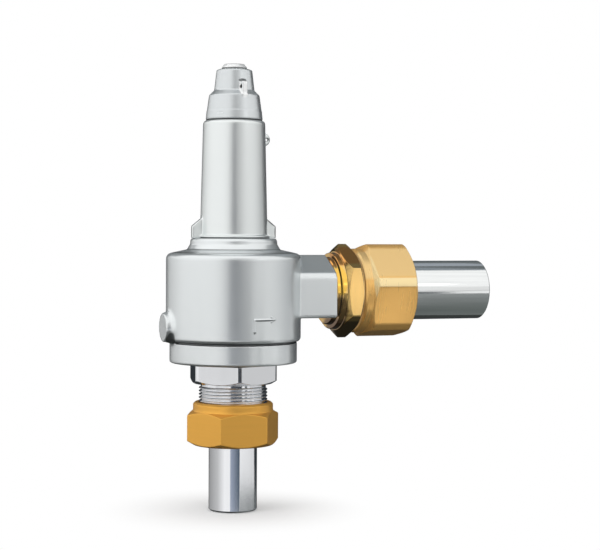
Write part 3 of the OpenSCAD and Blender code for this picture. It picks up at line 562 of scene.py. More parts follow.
class TurnedField:
    """Distance to a solid of revolution, read from a fine table."""

    STEP = 0.125

    def __init__(self, points: Sequence[Point], radii: Sequence[float], reach: float, low: float,
                 high: float) -> None:
        """Measures the outline.

        Args:
            points: Corners of the closed outline, as radius and height.
            radii: Rounding at each corner.
            reach: Largest radius in the table.
            low: Lowest height in the table.
            high: Highest height in the table.
        """
        outline = rounded_path(points, radii, 6, support=0.0)
        r = np.arange(0.0, reach, self.STEP)
        z = np.arange(low, high, self.STEP)
        grid_r, grid_z = np.meshgrid(r, z, indexing="ij")
        nearest = np.full(grid_r.shape, 1e9)
        inside = np.zeros(grid_r.shape, bool)
        for (ax, ay), (bx, by) in zip(outline, np.roll(outline, -1, axis=0)):
            ex, ey = bx - ax, by - ay
            long = ex * ex + ey * ey
            if long < 1e-12:
                continue
            t = np.clip(((grid_r - ax) * ex + (grid_z - ay) * ey) / long, 0.0, 1.0)
            dx, dy = grid_r - ax - t * ex, grid_z - ay - t * ey
            on_axis = abs(ax) < 1e-9 and abs(bx) < 1e-9
            if not on_axis:
                nearest = np.minimum(nearest, dx * dx + dy * dy)
            if ay != by:
                crosses = (ay > grid_z) != (by > grid_z)
                inside ^= crosses & (grid_r < ax + ex * (grid_z - ay) / ey)
        self.table = np.where(inside, -np.sqrt(nearest), np.sqrt(nearest))
        self.low = low

    def __call__(self, radius: np.ndarray, height: np.ndarray) -> np.ndarray:
        """Distance at each radius and height."""
        u = np.clip(radius / self.STEP, 0.0, self.table.shape[0] - 1.001)
        v = np.clip((height - self.low) / self.STEP, 0.0, self.table.shape[1] - 1.001)
        i, k = u.astype(int), v.astype(int)
        u, v = u - i, v - k
        t = self.table
        return ((t[i, k] * (1 - v) + t[i, k + 1] * v) * (1 - u)
                + (t[i + 1, k] * (1 - v) + t[i + 1, k + 1] * v) * u)


def graded(low: float, high: float, step: float, fine: Sequence[Place] = ()) -> np.ndarray:
    """Places from low to high, closer together in some stretches.

    Args:
        low: First place.
        high: Last place.
        step: Usual distance.
        fine: Stretches with a distance of their own, as from, to and distance.

    Returns:
        The places in order.
    """
    places = [low]
    while places[-1] < high:
        here = places[-1]
        size = step
        for start, end, small in fine:
            if start <= here < end:
                size = min(size, small)
            elif here < start < here + size:
                size = min(size, max(start - here, small))
        places.append(here + size)
    return np.array(places)


class PolarNet:
    """Closed mesh of a distance field, on a grid of angle, radius and height."""

    PROBE = 0.02
    LEAST_SLOPE = 0.2
    LONGEST_MOVE = 0.5

    def __init__(self, field: Field, angles: np.ndarray, radii: np.ndarray, heights: np.ndarray) -> None:
        """Keeps the field and the grid; angles are degrees and cover one turn."""
        self.field = field
        self.angles = np.radians(angles)
        self.radii = radii
        self.heights = heights

    def shell(self) -> Shell:
        """Finds the surface, one point in each cell that it crosses.

        Returns:
            Points on the surface, and quads.
        """
        turn, radii, heights = self.angles, self.radii, self.heights
        grid = (turn[:, None, None], radii[None, :, None], heights[None, None, :])
        value = self.field(grid[1] * np.cos(grid[0]) + 0 * grid[2], grid[1] * np.sin(grid[0]) + 0 * grid[2],
                           grid[2] + 0 * grid[0] * grid[1])
        shape = value.shape
        inside = value < 0
        total = np.zeros((value.size, 3))
        count = np.zeros(value.size)
        quads = []

        def cell(i: np.ndarray, j: np.ndarray, k: np.ndarray) -> np.ndarray:
            """Number of the cell at three places, round the turn."""
            return ((i % shape[0]) * shape[1] + j) * shape[2] + k

        # Each grid edge that the surface crosses adds its crossing to the four cells around it,
        # and those four cells are the corners of one quad.
        for axis in range(3):
            ahead = np.roll(inside, -1, axis=axis)
            crossing = inside != ahead
            if axis:
                edge = [slice(None)] * 3
                edge[axis] = slice(-1, None)
                crossing[tuple(edge)] = False
            i, j, k = np.nonzero(crossing)
            here = value[i, j, k]
            there = np.roll(value, -1, axis=axis)[i, j, k]
            share = here / (here - there)
            sides = [a for a in range(3) if a != axis]
            ring = []
            for first, second in ((0, 0), (1, 0), (1, 1), (0, 1)):
                place = [i.copy(), j.copy(), k.copy()]
                place[sides[0]] = place[sides[0]] - first
                place[sides[1]] = place[sides[1]] - second
                number = cell(*place)
                local = np.zeros((len(i), 3))
                local[:, axis] = share
                local[:, sides[0]] = first
                local[:, sides[1]] = second
                np.add.at(total, number, local)
                np.add.at(count, number, 1.0)
                ring.append(number)
            quad = np.stack(ring, axis=1)
            flip = inside[i, j, k] ^ (axis == 1)
            quad[flip] = quad[flip][:, ::-1]
            quads.append(quad)
        used = np.nonzero(count)[0]
        local = total[used] / count[used, None]
        i, j, k = np.unravel_index(used, shape)
        step = np.diff(np.append(turn, turn[0] + 2 * math.pi))
        angle = turn[i] + local[:, 0] * step[i]
        radius = radii[j] + local[:, 1] * np.diff(radii, append=radii[-1])[j]
        height = heights[k] + local[:, 2] * np.diff(heights, append=heights[-1])[k]
        points = np.stack([radius * np.cos(angle), radius * np.sin(angle), height], axis=1)
        order = np.full(value.size, -1)
        order[used] = np.arange(len(used))
        faces = order[np.concatenate(quads)]
        return self.settle(points), [tuple(f) for f in faces.tolist()]

    def settle(self, points: np.ndarray, rounds: int = 4) -> np.ndarray:
        """Moves points along the field's slope onto the surface."""
        small = self.PROBE
        for _ in range(rounds):
            x, y, z = points.T
            here = self.field(x, y, z)
            slope = np.stack([
                self.field(x + small, y, z) - self.field(x - small, y, z),
                self.field(x, y + small, z) - self.field(x, y - small, z),
                self.field(x, y, z + small) - self.field(x, y, z - small)], axis=1) / (2 * small)
            steep = np.maximum((slope * slope).sum(axis=1), self.LEAST_SLOPE)
            move = np.clip(here / steep, -self.LONGEST_MOVE, self.LONGEST_MOVE)
            points = points - slope * move[:, None]
        return points


@dataclass
class ThreadTree:
    """A geometry tree that rolls a grid into a screw thread."""

    name: str = "screw_thread"
    around: int = 112
    rows_per_pitch: int = 8
    flank: Point = (0.1, 0.9)
    fade_share: float = 0.6

    def build(self) -> bpy.types.NodeTree:
        """Builds the tree.

        Returns:
            A tree with inputs for radii, pitch, place, length and material.
        """
        tree = bpy.data.node_groups.new(self.name, "GeometryNodeTree")
        graph = Graph(tree)
        for label in ("Root radius", "Crest radius", "Inner radius", "Pitch", "Start", "Length", "Fade"):
            tree.interface.new_socket(label, in_out="INPUT", socket_type="NodeSocketFloat")
        tree.interface.new_socket("Rows", in_out="INPUT", socket_type="NodeSocketInt")
        tree.interface.new_socket("Material", in_out="INPUT", socket_type="NodeSocketMaterial")
        tree.interface.new_socket("Geometry", in_out="OUTPUT", socket_type="NodeSocketGeometry")
        given = graph.node("NodeGroupInput")
        size = {s.name: Wire(graph, s) for s in given.outputs if s.name}
        sheet = graph.node("GeometryNodeMeshGrid", None, {
            "Size X": 1.0, "Size Y": 1.0, "Vertices X": self.around + 1, "Vertices Y": size["Rows"]})
        place = graph.node("ShaderNodeSeparateXYZ", None,
                           {0: graph.node("GeometryNodeInputPosition").outputs[0]})
        turn = Wire(graph, place.outputs[0]) + 0.5
        last = size["Rows"] - 1.0
        row = graph.math("ROUND", (Wire(graph, place.outputs[1]) + 0.5) * last)
        share = ((row - 1.0) / (last - 3.0)).most(0.0).least(1.0)
        back = graph.math("GREATER_THAN", row, last - 0.5)
        end = graph.math("GREATER_THAN", row, last - 1.5)
        inner = graph.math("LESS_THAN", row, 0.5).most(end)
        along = share * (1.0 - back) * size["Length"]
        phase = graph.math("FRACT", along / size["Pitch"] - turn)
        tooth = (1.0 - graph.math("ABSOLUTE", phase * 2.0 - 1.0)).ramp(*self.flank)
        fade = (along / size["Fade"]).least((size["Length"] - along) / size["Fade"]).least(1.0)
        outer = size["Root radius"] + (size["Crest radius"] - size["Root radius"]) * tooth * fade
        radius = outer * (1.0 - inner) + size["Inner radius"] * inner
        angle = turn * (2.0 * math.pi)
        rolled = graph.node("ShaderNodeCombineXYZ", None, {
            0: radius * graph.math("COSINE", angle), 1: radius * graph.math("SINE", angle),
            2: size["Start"] + along})
        moved = graph.node("GeometryNodeSetPosition", None,
                           {"Geometry": sheet.outputs[0], "Position": rolled.outputs[0]})
        merged = graph.node("GeometryNodeMergeByDistance", None,
                            {"Geometry": moved.outputs[0], "Distance": WELD})
        smooth = graph.node("GeometryNodeSetShadeSmooth", None, {0: merged.outputs[0]})
        real = graph.node("GeometryNodeRealizeInstances", None, {0: smooth.outputs[0]})
        dressed = graph.node("GeometryNodeSetMaterial", None,
                             {"Geometry": real.outputs[0], "Material": size["Material"]})
        graph.node("NodeGroupOutput", None, {0: dressed.outputs[0]})
        return tree


def grown(tree: bpy.types.NodeTree, values: dict[str, Any], name: str) -> bpy.types.Mesh:
    """Runs a geometry tree once and keeps its mesh.

    Args:
        tree: The tree to run.
        values: The tree's inputs by name; lengths are metres.
        name: Name for the mesh.

    Returns:
        A plain mesh with no modifier.
    """
    holder = add_object(name + "_maker", bpy.data.meshes.new(name + "_start"))
    modifier = holder.modifiers.new("maker", "NODES")
    modifier.node_group = tree
    for item in tree.interface.items_tree:
        if item.in_out == "INPUT" and item.name in values:
            modifier[item.identifier] = values[item.name]
    bpy.context.view_layer.update()
    mesh = bpy.data.meshes.new_from_object(holder.evaluated_get(bpy.context.evaluated_depsgraph_get()))
    mesh.name = name
    start = holder.data
    bpy.data.objects.remove(holder)
    bpy.data.meshes.remove(start)
    return mesh


def mesh_shell(mesh: bpy.types.Mesh, axis: Axis = Axis.VALVE) -> Shell:
    """Reads a mesh back as a shell in millimetres, laid along an axis, and frees it."""
    points = np.empty(len(mesh.vertices) * 3)
    mesh.vertices.foreach_get("co", points)
    points = points.reshape(-1, 3) / MM
    faces = [tuple(p.vertices) for p in mesh.polygons]
    bpy.data.meshes.remove(mesh)
    if axis is Axis.OUTLET:
        points = np.stack([points[:, 2], points[:, 1], OUTLET_Z - points[:, 0]], axis=1)
    return points, faces


class Workshop:
    """Materials and geometry trees that the sub-assemblies share."""

    def __init__(self) -> None:
        """Makes every finish and tree once."""
        self.materials = {finish.name: finish.make() for finish in FINISHES}
        self.thread_tree = ThreadTree()
        self.threads = self.thread_tree.build()

    def finish(self, finish: Finish) -> bpy.types.Material:
        """The material of a finish."""
        return self.materials[finish.name]

    def fit(self, name: str, shells: Sequence[Shell], finish: Finish, node: str,
            body: str) -> bpy.types.Object:
        """Makes a piece and puts it in a CAD node's place.

        Args:
            name: The piece's name.
            shells: Its closed shells, in millimetres.
            finish: Its finish.
            node: The CAD node that it stands for.
            body: The body that it rides on.

        Returns:
            The piece.
        """
        piece = make_piece(name, shells, self.finish(finish))
        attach(piece, body)
        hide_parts(node)
        LOG.info("%s: %d faces for %s on %s", piece.name, len(piece.data.polygons), node, body)
        return piece

    def thread(self, root: float, crest: float, inner: float, pitch: float, start: float, length: float,
               axis: Axis = Axis.VALVE) -> Shell:
        """Cuts one screw thread.

        Args:
            root: Radius at the thread's root.
            crest: Radius at its crest.
            inner: Radius of the hidden inside of the sleeve.
            pitch: Rise of one turn.
            start: Where the thread begins along the axis.
            length: Its length.
            axis: The axis that it is laid along.

        Returns:
            A closed sleeve that carries the thread.
        """
        rows = int(length / pitch * self.thread_tree.rows_per_pitch) + 4
        values = {"Root radius": root * MM, "Crest radius": crest * MM, "Inner radius": inner * MM,
                  "Pitch": pitch * MM, "Start": start * MM, "Length": length * MM,
                  "Fade": self.thread_tree.fade_share * pitch * MM, "Rows": rows,
                  "Material": self.finish(POLISHED)}
        return mesh_shell(grown(self.threads, values, "thread_sleeve"), axis)


@dataclass
class CastBody:
    """The angle body: ring, shell, neck, outlet block, blank boss and raised flow arrow."""

    ring_r: float = 44.3
    body_r: float = 46.9
    groove_r: float = 41.6
    low: float = 102.8
    groove_z: float = 116.8
    shell_z: float = 117.6
    low_round: float = 3.0
    shell_top: float = 179.2
    neck_top: float = 188.9
    nozzle_hole_r: float = 24.15
    chamber_r: float = 40.0
    guide_hole_r: float = 16.5
    bonnet_hole_r: float = 21.15
    outlet_bore_r: float = 12.5
    adaptor_hole_r: float = 16.15
    adaptor_hole_x: float = 51.5
    block_end: float = 68.0
    block_side: float = 25.0
    block_floor: float = 18.0
    block_shoulder: float = 12.6
    block_ridge: float = 26.5
    block_bevel: float = 0.95
    bevel_turn: float = 0.25
    ridge_softness: float = 3.0
    roof_round: float = 0.1
    bevel_round: float = 0.5
    floor_round: float = 2.2
    end_round: float = 0.6
    block_fillet: float = 1.2
    boss_z: float = 127.8
    boss_r: float = 10.0
    boss_end: float = 51.0
    boss_round: float = 0.9
    boss_fillet: float = 4.0
    arrow_height: float = 0.4
    arrow_width: float = 0.6
    arrow_round: float = 0.12
    arrow_fillet: float = 0.08

    TABLE = (78.0, 98.0, 194.0)
    ARROW = (((-0.4, 125.8), (-0.4, 134.6)), ((-0.4, 134.6), (15.0, 134.6)),
             ((15.0, 134.6), (12.2, 136.2)), ((15.0, 134.6), (12.2, 133.0)))

    def outside(self) -> TurnedField:
        """Turned outside of ring, shell and neck."""
        edge = [(self.body_r - self.low_round * (1.0 - math.sin(a)),
                 self.shell_z + self.low_round * (1.0 - math.cos(a)))
                for a in np.radians([0.0, 18.0, 36.0, 54.0, 72.0, 90.0])]
        corners = [(0.0, self.low), (self.ring_r, self.low), (self.ring_r, self.groove_z),
                   (self.groove_r, self.groove_z + 0.1), (self.groove_r, self.shell_z), *edge,
                   (self.body_r, self.shell_top - 1.2), (32.4, self.shell_top + 2.0), (30.3, 184.9),
                   (30.15, 187.2), (29.2, self.neck_top), (0.0, self.neck_top)]
        rounding = [0.0, 1.4, 0.5, 0.2, 0.2, 0.4, *[0.0] * 5, 4.4, 0.6, 0.7, 0.9, 0.4, 0.0]
        return TurnedField(corners, rounding, *self.TABLE)

    def inside(self) -> TurnedField:
        """Turned chamber with the bores for nozzle, guide and bonnet."""
        corners = [(0.0, 101.0), (self.nozzle_hole_r, 101.0), (self.nozzle_hole_r, 122.0), (33.0, 122.0),
                   (self.chamber_r, 129.0), (self.chamber_r, 163.0), (33.0, 170.0),
                   (self.guide_hole_r, 170.0), (self.guide_hole_r, 174.0), (self.bonnet_hole_r, 174.0),
                   (self.bonnet_hole_r, 192.0), (0.0, 192.0)]
        return TurnedField(corners, [0.0] * len(corners), *self.TABLE)

    def arrow(self, x: np.ndarray, y: np.ndarray, z: np.ndarray) -> np.ndarray:
        """Distance to the raised flow arrow: up from the inlet, then towards the outlet."""
        along = (np.arctan2(y, x) + math.pi / 2) * self.body_r
        flat = np.full(np.shape(along + z), 1e6)
        for (ax, ay), (bx, by) in self.ARROW:
            ex, ey = bx - ax, by - ay
            t = np.clip(((along - ax) * ex + (z - ay) * ey) / (ex * ex + ey * ey), 0.0, 1.0)
            flat = np.minimum(flat, np.hypot(along - ax - t * ex, z - ay - t * ey))
        radial = np.abs(np.hypot(x, y) - self.body_r) - self.arrow_height
        return soft_meet(flat - self.arrow_width, radial, self.arrow_round)

    def field(self) -> Field:
        """Distance to the whole casting.

        Returns:
            A function of three arrays of coordinates.
        """
        outside, inside = self.outside(), self.inside()

        def distance(x: np.ndarray, y: np.ndarray, z: np.ndarray) -> np.ndarray:
            """Distance at points."""
            radius = np.hypot(x, y)
            up = z - OUTLET_Z
            rim = np.hypot(y, up)
            lean = math.atan2(self.block_ridge - self.block_shoulder, self.block_side)
            roof = (np.sqrt(y * y + self.ridge_softness) * math.sin(lean)
                    + (up - self.block_ridge) * math.cos(lean))
            bevel = lean / 2 + self.bevel_turn
            edge = np.abs(y) * math.cos(bevel) + up * math.sin(bevel)
            edge = (edge - self.block_side * math.cos(bevel) - self.block_shoulder * math.sin(bevel)
                    + self.block_bevel)
            block = soft_meet(np.abs(y) - self.block_side, roof, self.roof_round)
            block = soft_meet(block, edge, self.bevel_round)
            block = soft_meet(block, -up - self.block_floor, self.floor_round)
            block = soft_meet(block, x - self.block_end, self.end_round)
            block = np.maximum(block, -x)
            level = np.hypot(y, z - self.boss_z)
            boss = np.maximum(soft_meet(level - self.boss_r, -x - self.boss_end, self.boss_round), x)
            solid = soft_join(outside(radius, z), block, self.block_fillet)
            solid = soft_join(solid, boss, self.boss_fillet)
            solid = soft_join(solid, self.arrow(x, y, z), self.arrow_fillet)
            hollow = inside(radius, z)
            bore_r = np.where(x > self.adaptor_hole_x, self.adaptor_hole_r, self.outlet_bore_r)
            bore = np.maximum(rim - bore_r, -x)
            return np.maximum(solid, -np.minimum(hollow, bore))

        return distance

    def build(self, shop: Workshop) -> None:
        """Makes the casting and puts it in its node's place."""
        angles = graded(-180.0, 178.6, 2.0, [
            (-180.0, -154.0, 1.2), (-94.0, -68.0, 0.45), (-40.0, 40.0, 1.1), (154.0, 180.0, 1.2)])
        angles = angles[angles < 179.2]
        radii = graded(14.0, 76.5, 1.5, [
            (20.0, 23.0, 0.8), (42.0, 48.6, 0.5), (48.6, 52.0, 0.9), (60.0, 76.5, 1.0)])
        heights = graded(101.6, 190.4, 1.5, [
            (101.6, 106.0, 0.6), (114.6, 122.6, 0.4), (124.2, 137.2, 0.45), (172.6, 187.0, 0.75),
            (187.0, 190.4, 0.5)])
        shell = PolarNet(self.field(), angles, radii, heights).shell()
        shop.fit("valve_body_casting", [shell], CAST_BODY, "valve_body", "valve")


@dataclass
class Bonnet:
    """The spring housing with wrench ribs, seal ear and the thread for the cap."""

    foot_z: float = 189.7
    top: float = 270.4
    spigot_r: float = 21.0
    spigot_low: float = 178.0
    collar_r: float = 14.2
    collar_top: float = 283.0
    room_r: float = 17.0
    room_top: float = 258.0
    screw_hole_r: float = 8.15
    top_r: float = 21.5
    foot_r: float = 23.5
    ring_r: float = 25.2
    ring_top: float = 191.4
    rib_r: float = 30.5
    rib_half: float = 2.0
    rib_drop: float = 0.65
    rib_top: float = 203.2
    rib_upright: float = 7.6
    rib_round: float = 0.9
    rib_fillet: float = 1.0
    ear_r: float = 4.6
    ear_half: float = 1.7
    ear_round: float = 1.1
    ear_fillet: float = 0.9
    ear_x: float = 21.4147
    ear_z: float = 257.7
    hole_x: float = 23.6147
    hole_r: float = 1.2
    hole_round: float = 0.25

    TABLE = (36.0, 174.0, 288.0)

    def wall(self, z: float) -> float:
        """Radius of the drafted wall at a height."""
        return self.top_r + (self.foot_r - self.top_r) * (self.top - z) / (self.top - self.foot_z)

    def field(self) -> Field:
        """Distance to the casting.

        Returns:
            A function of three arrays of coordinates.
        """
        outside = TurnedField(
            [(0.0, self.spigot_low), (self.spigot_r, self.spigot_low), (self.spigot_r, self.foot_z),
             (self.ring_r, self.foot_z), (self.ring_r, self.foot_z + 0.9),
             (self.wall(self.ring_top), self.ring_top), (self.top_r, self.top), (self.collar_r, self.top),
             (self.collar_r, self.collar_top), (0.0, self.collar_top)],
            [0.0, 0.5, 0.2, 0.3, 0.3, 0.9, 2.6, 0.2, 0.5, 0.0], *self.TABLE)
        inside = TurnedField(
            [(0.0, 176.0), (self.room_r, 176.0), (self.room_r, self.room_top),
             (self.screw_hole_r, self.room_top), (self.screw_hole_r, 286.0), (0.0, 286.0)],
            [0.0] * 6, *self.TABLE)
        knee = self.foot_z + self.rib_upright
        slope = math.atan2(self.rib_r - self.wall(self.rib_top), self.rib_top - knee)

        def distance(x: np.ndarray, y: np.ndarray, z: np.ndarray) -> np.ndarray:
            """Distance at points."""
            radius = np.hypot(x, y)
            reach = np.abs(x)
            tip = soft_meet(reach - self.rib_r, (reach - self.rib_r) * math.cos(slope)
                            + (z - knee) * math.sin(slope), 0.5)
            rib = soft_meet(tip, self.foot_z - self.rib_drop - z, 0.2)
            rib = soft_meet(rib, np.abs(y) - self.rib_half, self.rib_round)
            rib = np.maximum(rib, 12.0 - reach)
            ear = soft_meet(np.hypot(x - self.ear_x, z - self.ear_z) - self.ear_r,
                            np.abs(y) - self.ear_half, self.ear_round)
            solid = soft_join(outside(radius, z), rib, self.rib_fillet)
            solid = soft_join(solid, ear, self.ear_fillet)
            hole = np.maximum(np.hypot(x - self.hole_x, z - self.ear_z) - self.hole_r, 20.0 - x)
            solid = soft_meet(solid, -hole, self.hole_round)
            return np.maximum(solid, -inside(radius, z))

        return distance

    def build(self, shop: Workshop) -> None:
        """Makes the casting and its cap thread."""
        angles = graded(-180.0, 178.0, 3.0, [
            (-180.0, -172.0, 0.8), (-8.0, 8.0, 0.8), (172.0, 180.0, 0.8)])
        angles = angles[angles < 179.5]
        radii = graded(6.5, 31.8, 1.2, [(20.0, 31.8, 0.55)])
        heights = graded(176.6, 284.4, 1.8, [
            (188.6, 205.0, 0.55), (252.0, 263.6, 0.5), (266.4, 271.6, 0.45)])
        shell = PolarNet(self.field(), angles, radii, heights).shell()
        thread = shop.thread(root=14.1, crest=14.95, inner=10.0, pitch=1.5, start=270.8, length=12.0)
        shop.fit("bonnet_casting", [shell, thread], CAST_STEEL, "bonnet", "valve")


@dataclass
class Cap:
    """The stepped cap with its seal lug, the plug in its top, and the gasket under it."""

    low: float = 271.0
    foot_r: float = 19.8
    neck_r: float = 14.0
    neck_z: float = 291.2
    crown_r: float = 12.35
    crown_z: float = 305.2
    top: float = 306.4
    thread_r: float = 15.15
    nut_room_r: float = 13.6
    screw_room_r: float = 9.6
    plug_hole_r: float = 5.15
    plug_r: float = 8.7
    plug_stem_r: float = 5.0
    plug_low: float = 302.0
    plug_top: float = 309.4
    gasket_low: float = 270.4
    gasket_r: Point = (15.3, 19.5)
    lug_turn: float = -83.0
    lug_half: float = 1.85
    step_r: float = 17.5
    step_z: float = 287.7
    lug_root: float = 9.6
    lug_rise: float = 8.8
    lug_fall: float = 2.9
    lug_round: float = 0.45
    lug_fillet: float = 0.9
    hole_out: float = 15.1017
    hole_z: float = 293.62
    hole_r: float = 1.2
    hole_round: float = 0.25

    TABLE = (24.0, 268.0, 310.0)

    def field(self) -> Field:
        """Distance to the cap.

        Returns:
            A function of three arrays of coordinates.
        """
        outside = TurnedField(
            [(0.0, self.low), (self.foot_r, self.low), (19.15, 276.9), (18.95, 277.4),
             (self.step_r, self.step_z), (self.neck_r, self.neck_z), (self.crown_r, self.crown_z),
             (self.plug_r, self.top), (0.0, self.top)],
            [0.0, 0.6, 0.4, 0.4, 0.8, 0.9, 1.2, 0.3, 0.0], *self.TABLE)
        inside = TurnedField(
            [(0.0, 270.0), (self.thread_r, 270.0), (self.thread_r, 283.0), (self.nut_room_r, 283.3),
             (self.nut_room_r, 288.0), (self.screw_room_r, 288.9), (self.screw_room_r, self.plug_low),
             (self.plug_hole_r, self.plug_low), (self.plug_hole_r, 309.0), (0.0, 309.0)],
            [0.0] * 10, *self.TABLE)
        turn = math.radians(self.lug_turn)

        def distance(x: np.ndarray, y: np.ndarray, z: np.ndarray) -> np.ndarray:
            """Distance at points."""
            radius = np.hypot(x, y)
            out = x * math.cos(turn) + y * math.sin(turn)
            side = -x * math.sin(turn) + y * math.cos(turn)
            slope = math.atan2(self.lug_fall, self.step_r - self.lug_root)
            roof = ((z - self.step_z - self.lug_rise) * math.cos(slope)
                    + (out - self.step_r) * math.sin(slope))
            lug = soft_meet(soft_meet(out - self.step_r, roof, 0.5), self.step_z - 0.8 - z, 0.1)
            lug = np.maximum(soft_meet(lug, np.abs(side) - self.lug_half, self.lug_round), 9.0 - out)
            solid = soft_join(outside(radius, z), lug, self.lug_fillet)
            hole = np.maximum(np.hypot(out - self.hole_out, z - self.hole_z) - self.hole_r, 12.0 - out)
            solid = soft_meet(solid, -hole, self.hole_round)
            return np.maximum(solid, -inside(radius, z))

        return distance

    def build(self, shop: Workshop) -> None:
        """Makes cap, plug and gasket."""
        angles = graded(-180.0, 176.0, 3.5, [(-97.0, -69.0, 1.0)])
        angles = angles[angles < 178.5]
        radii = graded(3.6, 21.0, 0.9, [(11.0, 21.0, 0.45)])
        heights = graded(269.8, 307.6, 0.9, [
            (269.8, 272.4, 0.4), (275.6, 278.4, 0.4), (285.6, 298.6, 0.5), (303.6, 307.6, 0.4)])
        shell = PolarNet(self.field(), angles, radii, heights).shell()
        shop.fit("cap_casting", [shell], CAP_STEEL, "cap", "cap")
        plug = turned_shell(
            [(0.0, self.plug_low), (self.plug_stem_r, self.plug_low), (self.plug_stem_r, self.top),
             (self.plug_r, self.top), (self.plug_r, 307.2), (6.9, self.plug_top), (0.0, self.plug_top)],
            [0.0, 0.3, 0.1, 0.2, 0.5, 0.8, 0.0], segments=96)
        shop.fit("cap_plug_turned", [plug], CAP_PLUG, "cap_plug", "cap")
        gasket = ring_shell(self.gasket_r, (self.gasket_low, self.low))
        shop.fit("cap_gasket_ring", [gasket], DARK_FIBRE, "cap_gasket", "cap_seal")


@dataclass
class InletUnion:
    """Nozzle, union nut and stub pipe below the body."""

    nozzle_af: float = 56.6
    nozzle_turn: float = 20.4
    nozzle_bar_r: float = 31.8
    nozzle_low: float = 62.0
    nozzle_bore_r: float = 13.35
    hexagon_low: float = 88.3
    hexagon_high: float = 101.6
    relief_r: float = 22.95
    body_low: float = 102.8
    screw_r: float = 24.0
    screw_top: float = 122.0
    screw_chamfer: float = 1.05
    tube_r: float = 18.0
    tube_top: float = 129.0
    seat_z: float = 136.0
    seat_r: Point = (10.0, 12.0)
    gasket_r: Point = (24.3, 27.5)
    nut_af: float = 57.2
    nut_turn: float = -2.8
    nut_low: float = 45.6
    nut_shoulder: float = 69.2
    nut_high: float = 75.3
    nut_floor: float = 54.0
    nut_hole_r: float = 17.15
    nut_thread_r: float = 24.05
    collar_chamfer: float = 1.4
    thread_start: float = 62.3
    thread_length: float = 24.4
    sleeve_r: float = 18.0
    tail_collar_r: float = 21.8
    tail_top: float = 60.0
    tail_step: float = 0.6
    thread_r: float = 23.9
    pitch: float = 2.309
    stub_r: float = 16.85
    bore_r: float = 13.65

    def nozzle_outline(self, angle: float) -> np.ndarray:
        """Section of the nozzle at an angle from a hexagon's corner."""
        flat = self.nozzle_af / 2
        wide = min(hexagon_radius(flat, 0.7, angle - self.nozzle_turn), self.nozzle_bar_r)
        face = flat - 1.0
        root = self.thread_r - 1.35
        bore, relief, screw = self.nozzle_bore_r, self.relief_r, self.screw_r
        lip, rim = self.seat_r
        corners = [(bore, self.nozzle_low), (root, self.nozzle_low), (root, 87.2), (root, self.hexagon_low),
                   (face, self.hexagon_low), (wide, self.hexagon_low + (wide - face) * CHAMFER),
                   (wide, self.hexagon_high), (relief, self.hexagon_high), (relief, self.body_low),
                   (screw, self.body_low + self.screw_chamfer), (screw, self.screw_top - self.screw_chamfer),
                   (relief, self.screw_top), (self.tube_r, self.screw_top), (self.tube_r, self.tube_top),
                   (rim, self.seat_z), (lip, self.seat_z), (lip, self.tube_top), (bore, self.body_low)]
        rounding = [0.4, 0.4, 0.1, 0.5, 0.25, 0.35, 0.35, 0.2, *[0.1] * 5, 0.2, *[0.1] * 4]
        return rounded_path(corners, rounding, 3)

    def nut_outline(self, angle: float) -> np.ndarray:
        """Section of the union nut at an angle from a hexagon's corner."""
        flat = self.nut_af / 2
        wide = hexagon_radius(flat, 0.8, angle - self.nut_turn)
        face, high, collar = flat - 1.0, flat - 0.5, flat - 0.75
        hole, thread, chamfer = self.nut_hole_r, self.nut_thread_r, self.collar_chamfer
        corners = [(hole, self.nut_low), (face, self.nut_low), (wide, self.nut_low + (wide - face) * CHAMFER),
                   (wide, self.nut_shoulder - (wide - high) * CHAMFER), (high, self.nut_shoulder),
                   (collar, self.nut_shoulder + chamfer), (collar, self.nut_high - chamfer),
                   (collar - chamfer, self.nut_high), (thread, self.nut_high), (thread, self.nut_floor),
                   (hole, self.nut_floor)]
        rounding = [0.4, 0.7, 0.7, 0.7, 0.7, 0.9, 0.9, 0.8, 0.3, 0.1, 0.1]
        return rounded_path(corners, rounding, 3)

    def build(self, shop: Workshop) -> None:
        """Makes the union's pieces."""
        nozzle = swept_shell(self.nozzle_outline, hexagon_angles(self.nozzle_turn, 3.4))
        thread = shop.thread(root=self.thread_r - 1.4, crest=self.thread_r, inner=self.sleeve_r,
                             pitch=self.pitch, start=self.thread_start, length=self.thread_length)
        shop.fit("inlet_nozzle_hexagon", [nozzle, thread], POLISHED, "inlet_nozzle", "valve")
        nut = swept_shell(self.nut_outline, hexagon_angles(self.nut_turn, 1.8))
        shop.fit("inlet_union_nut", [nut], BRASS, "inlet_nut", "inlet_nut")
        stub = turned_shell(
            [(self.bore_r, 0.0), (self.stub_r - 0.8, 0.0), (self.stub_r, 0.8), (self.stub_r, 44.8),
             (self.stub_r - self.tail_step, 45.4), (self.stub_r - self.tail_step, self.nut_floor),
             (self.tail_collar_r, self.nut_floor), (self.tail_collar_r, self.tail_top),
             (self.bore_r, self.tail_top)],
            [0.3, 0.4, 0.4, 0.2, 0.2, 0.1, 0.3, 0.3, 0.3], segments=144)
        shop.fit("inlet_stub_pipe", [stub], POLISHED, "inlet_tail", "inlet_stub")
        gasket = ring_shell(self.gasket_r, (self.hexagon_high, self.body_low))
        shop.fit("nozzle_gasket_ring", [gasket], DARK_FIBRE, "nozzle_gasket", "valve")


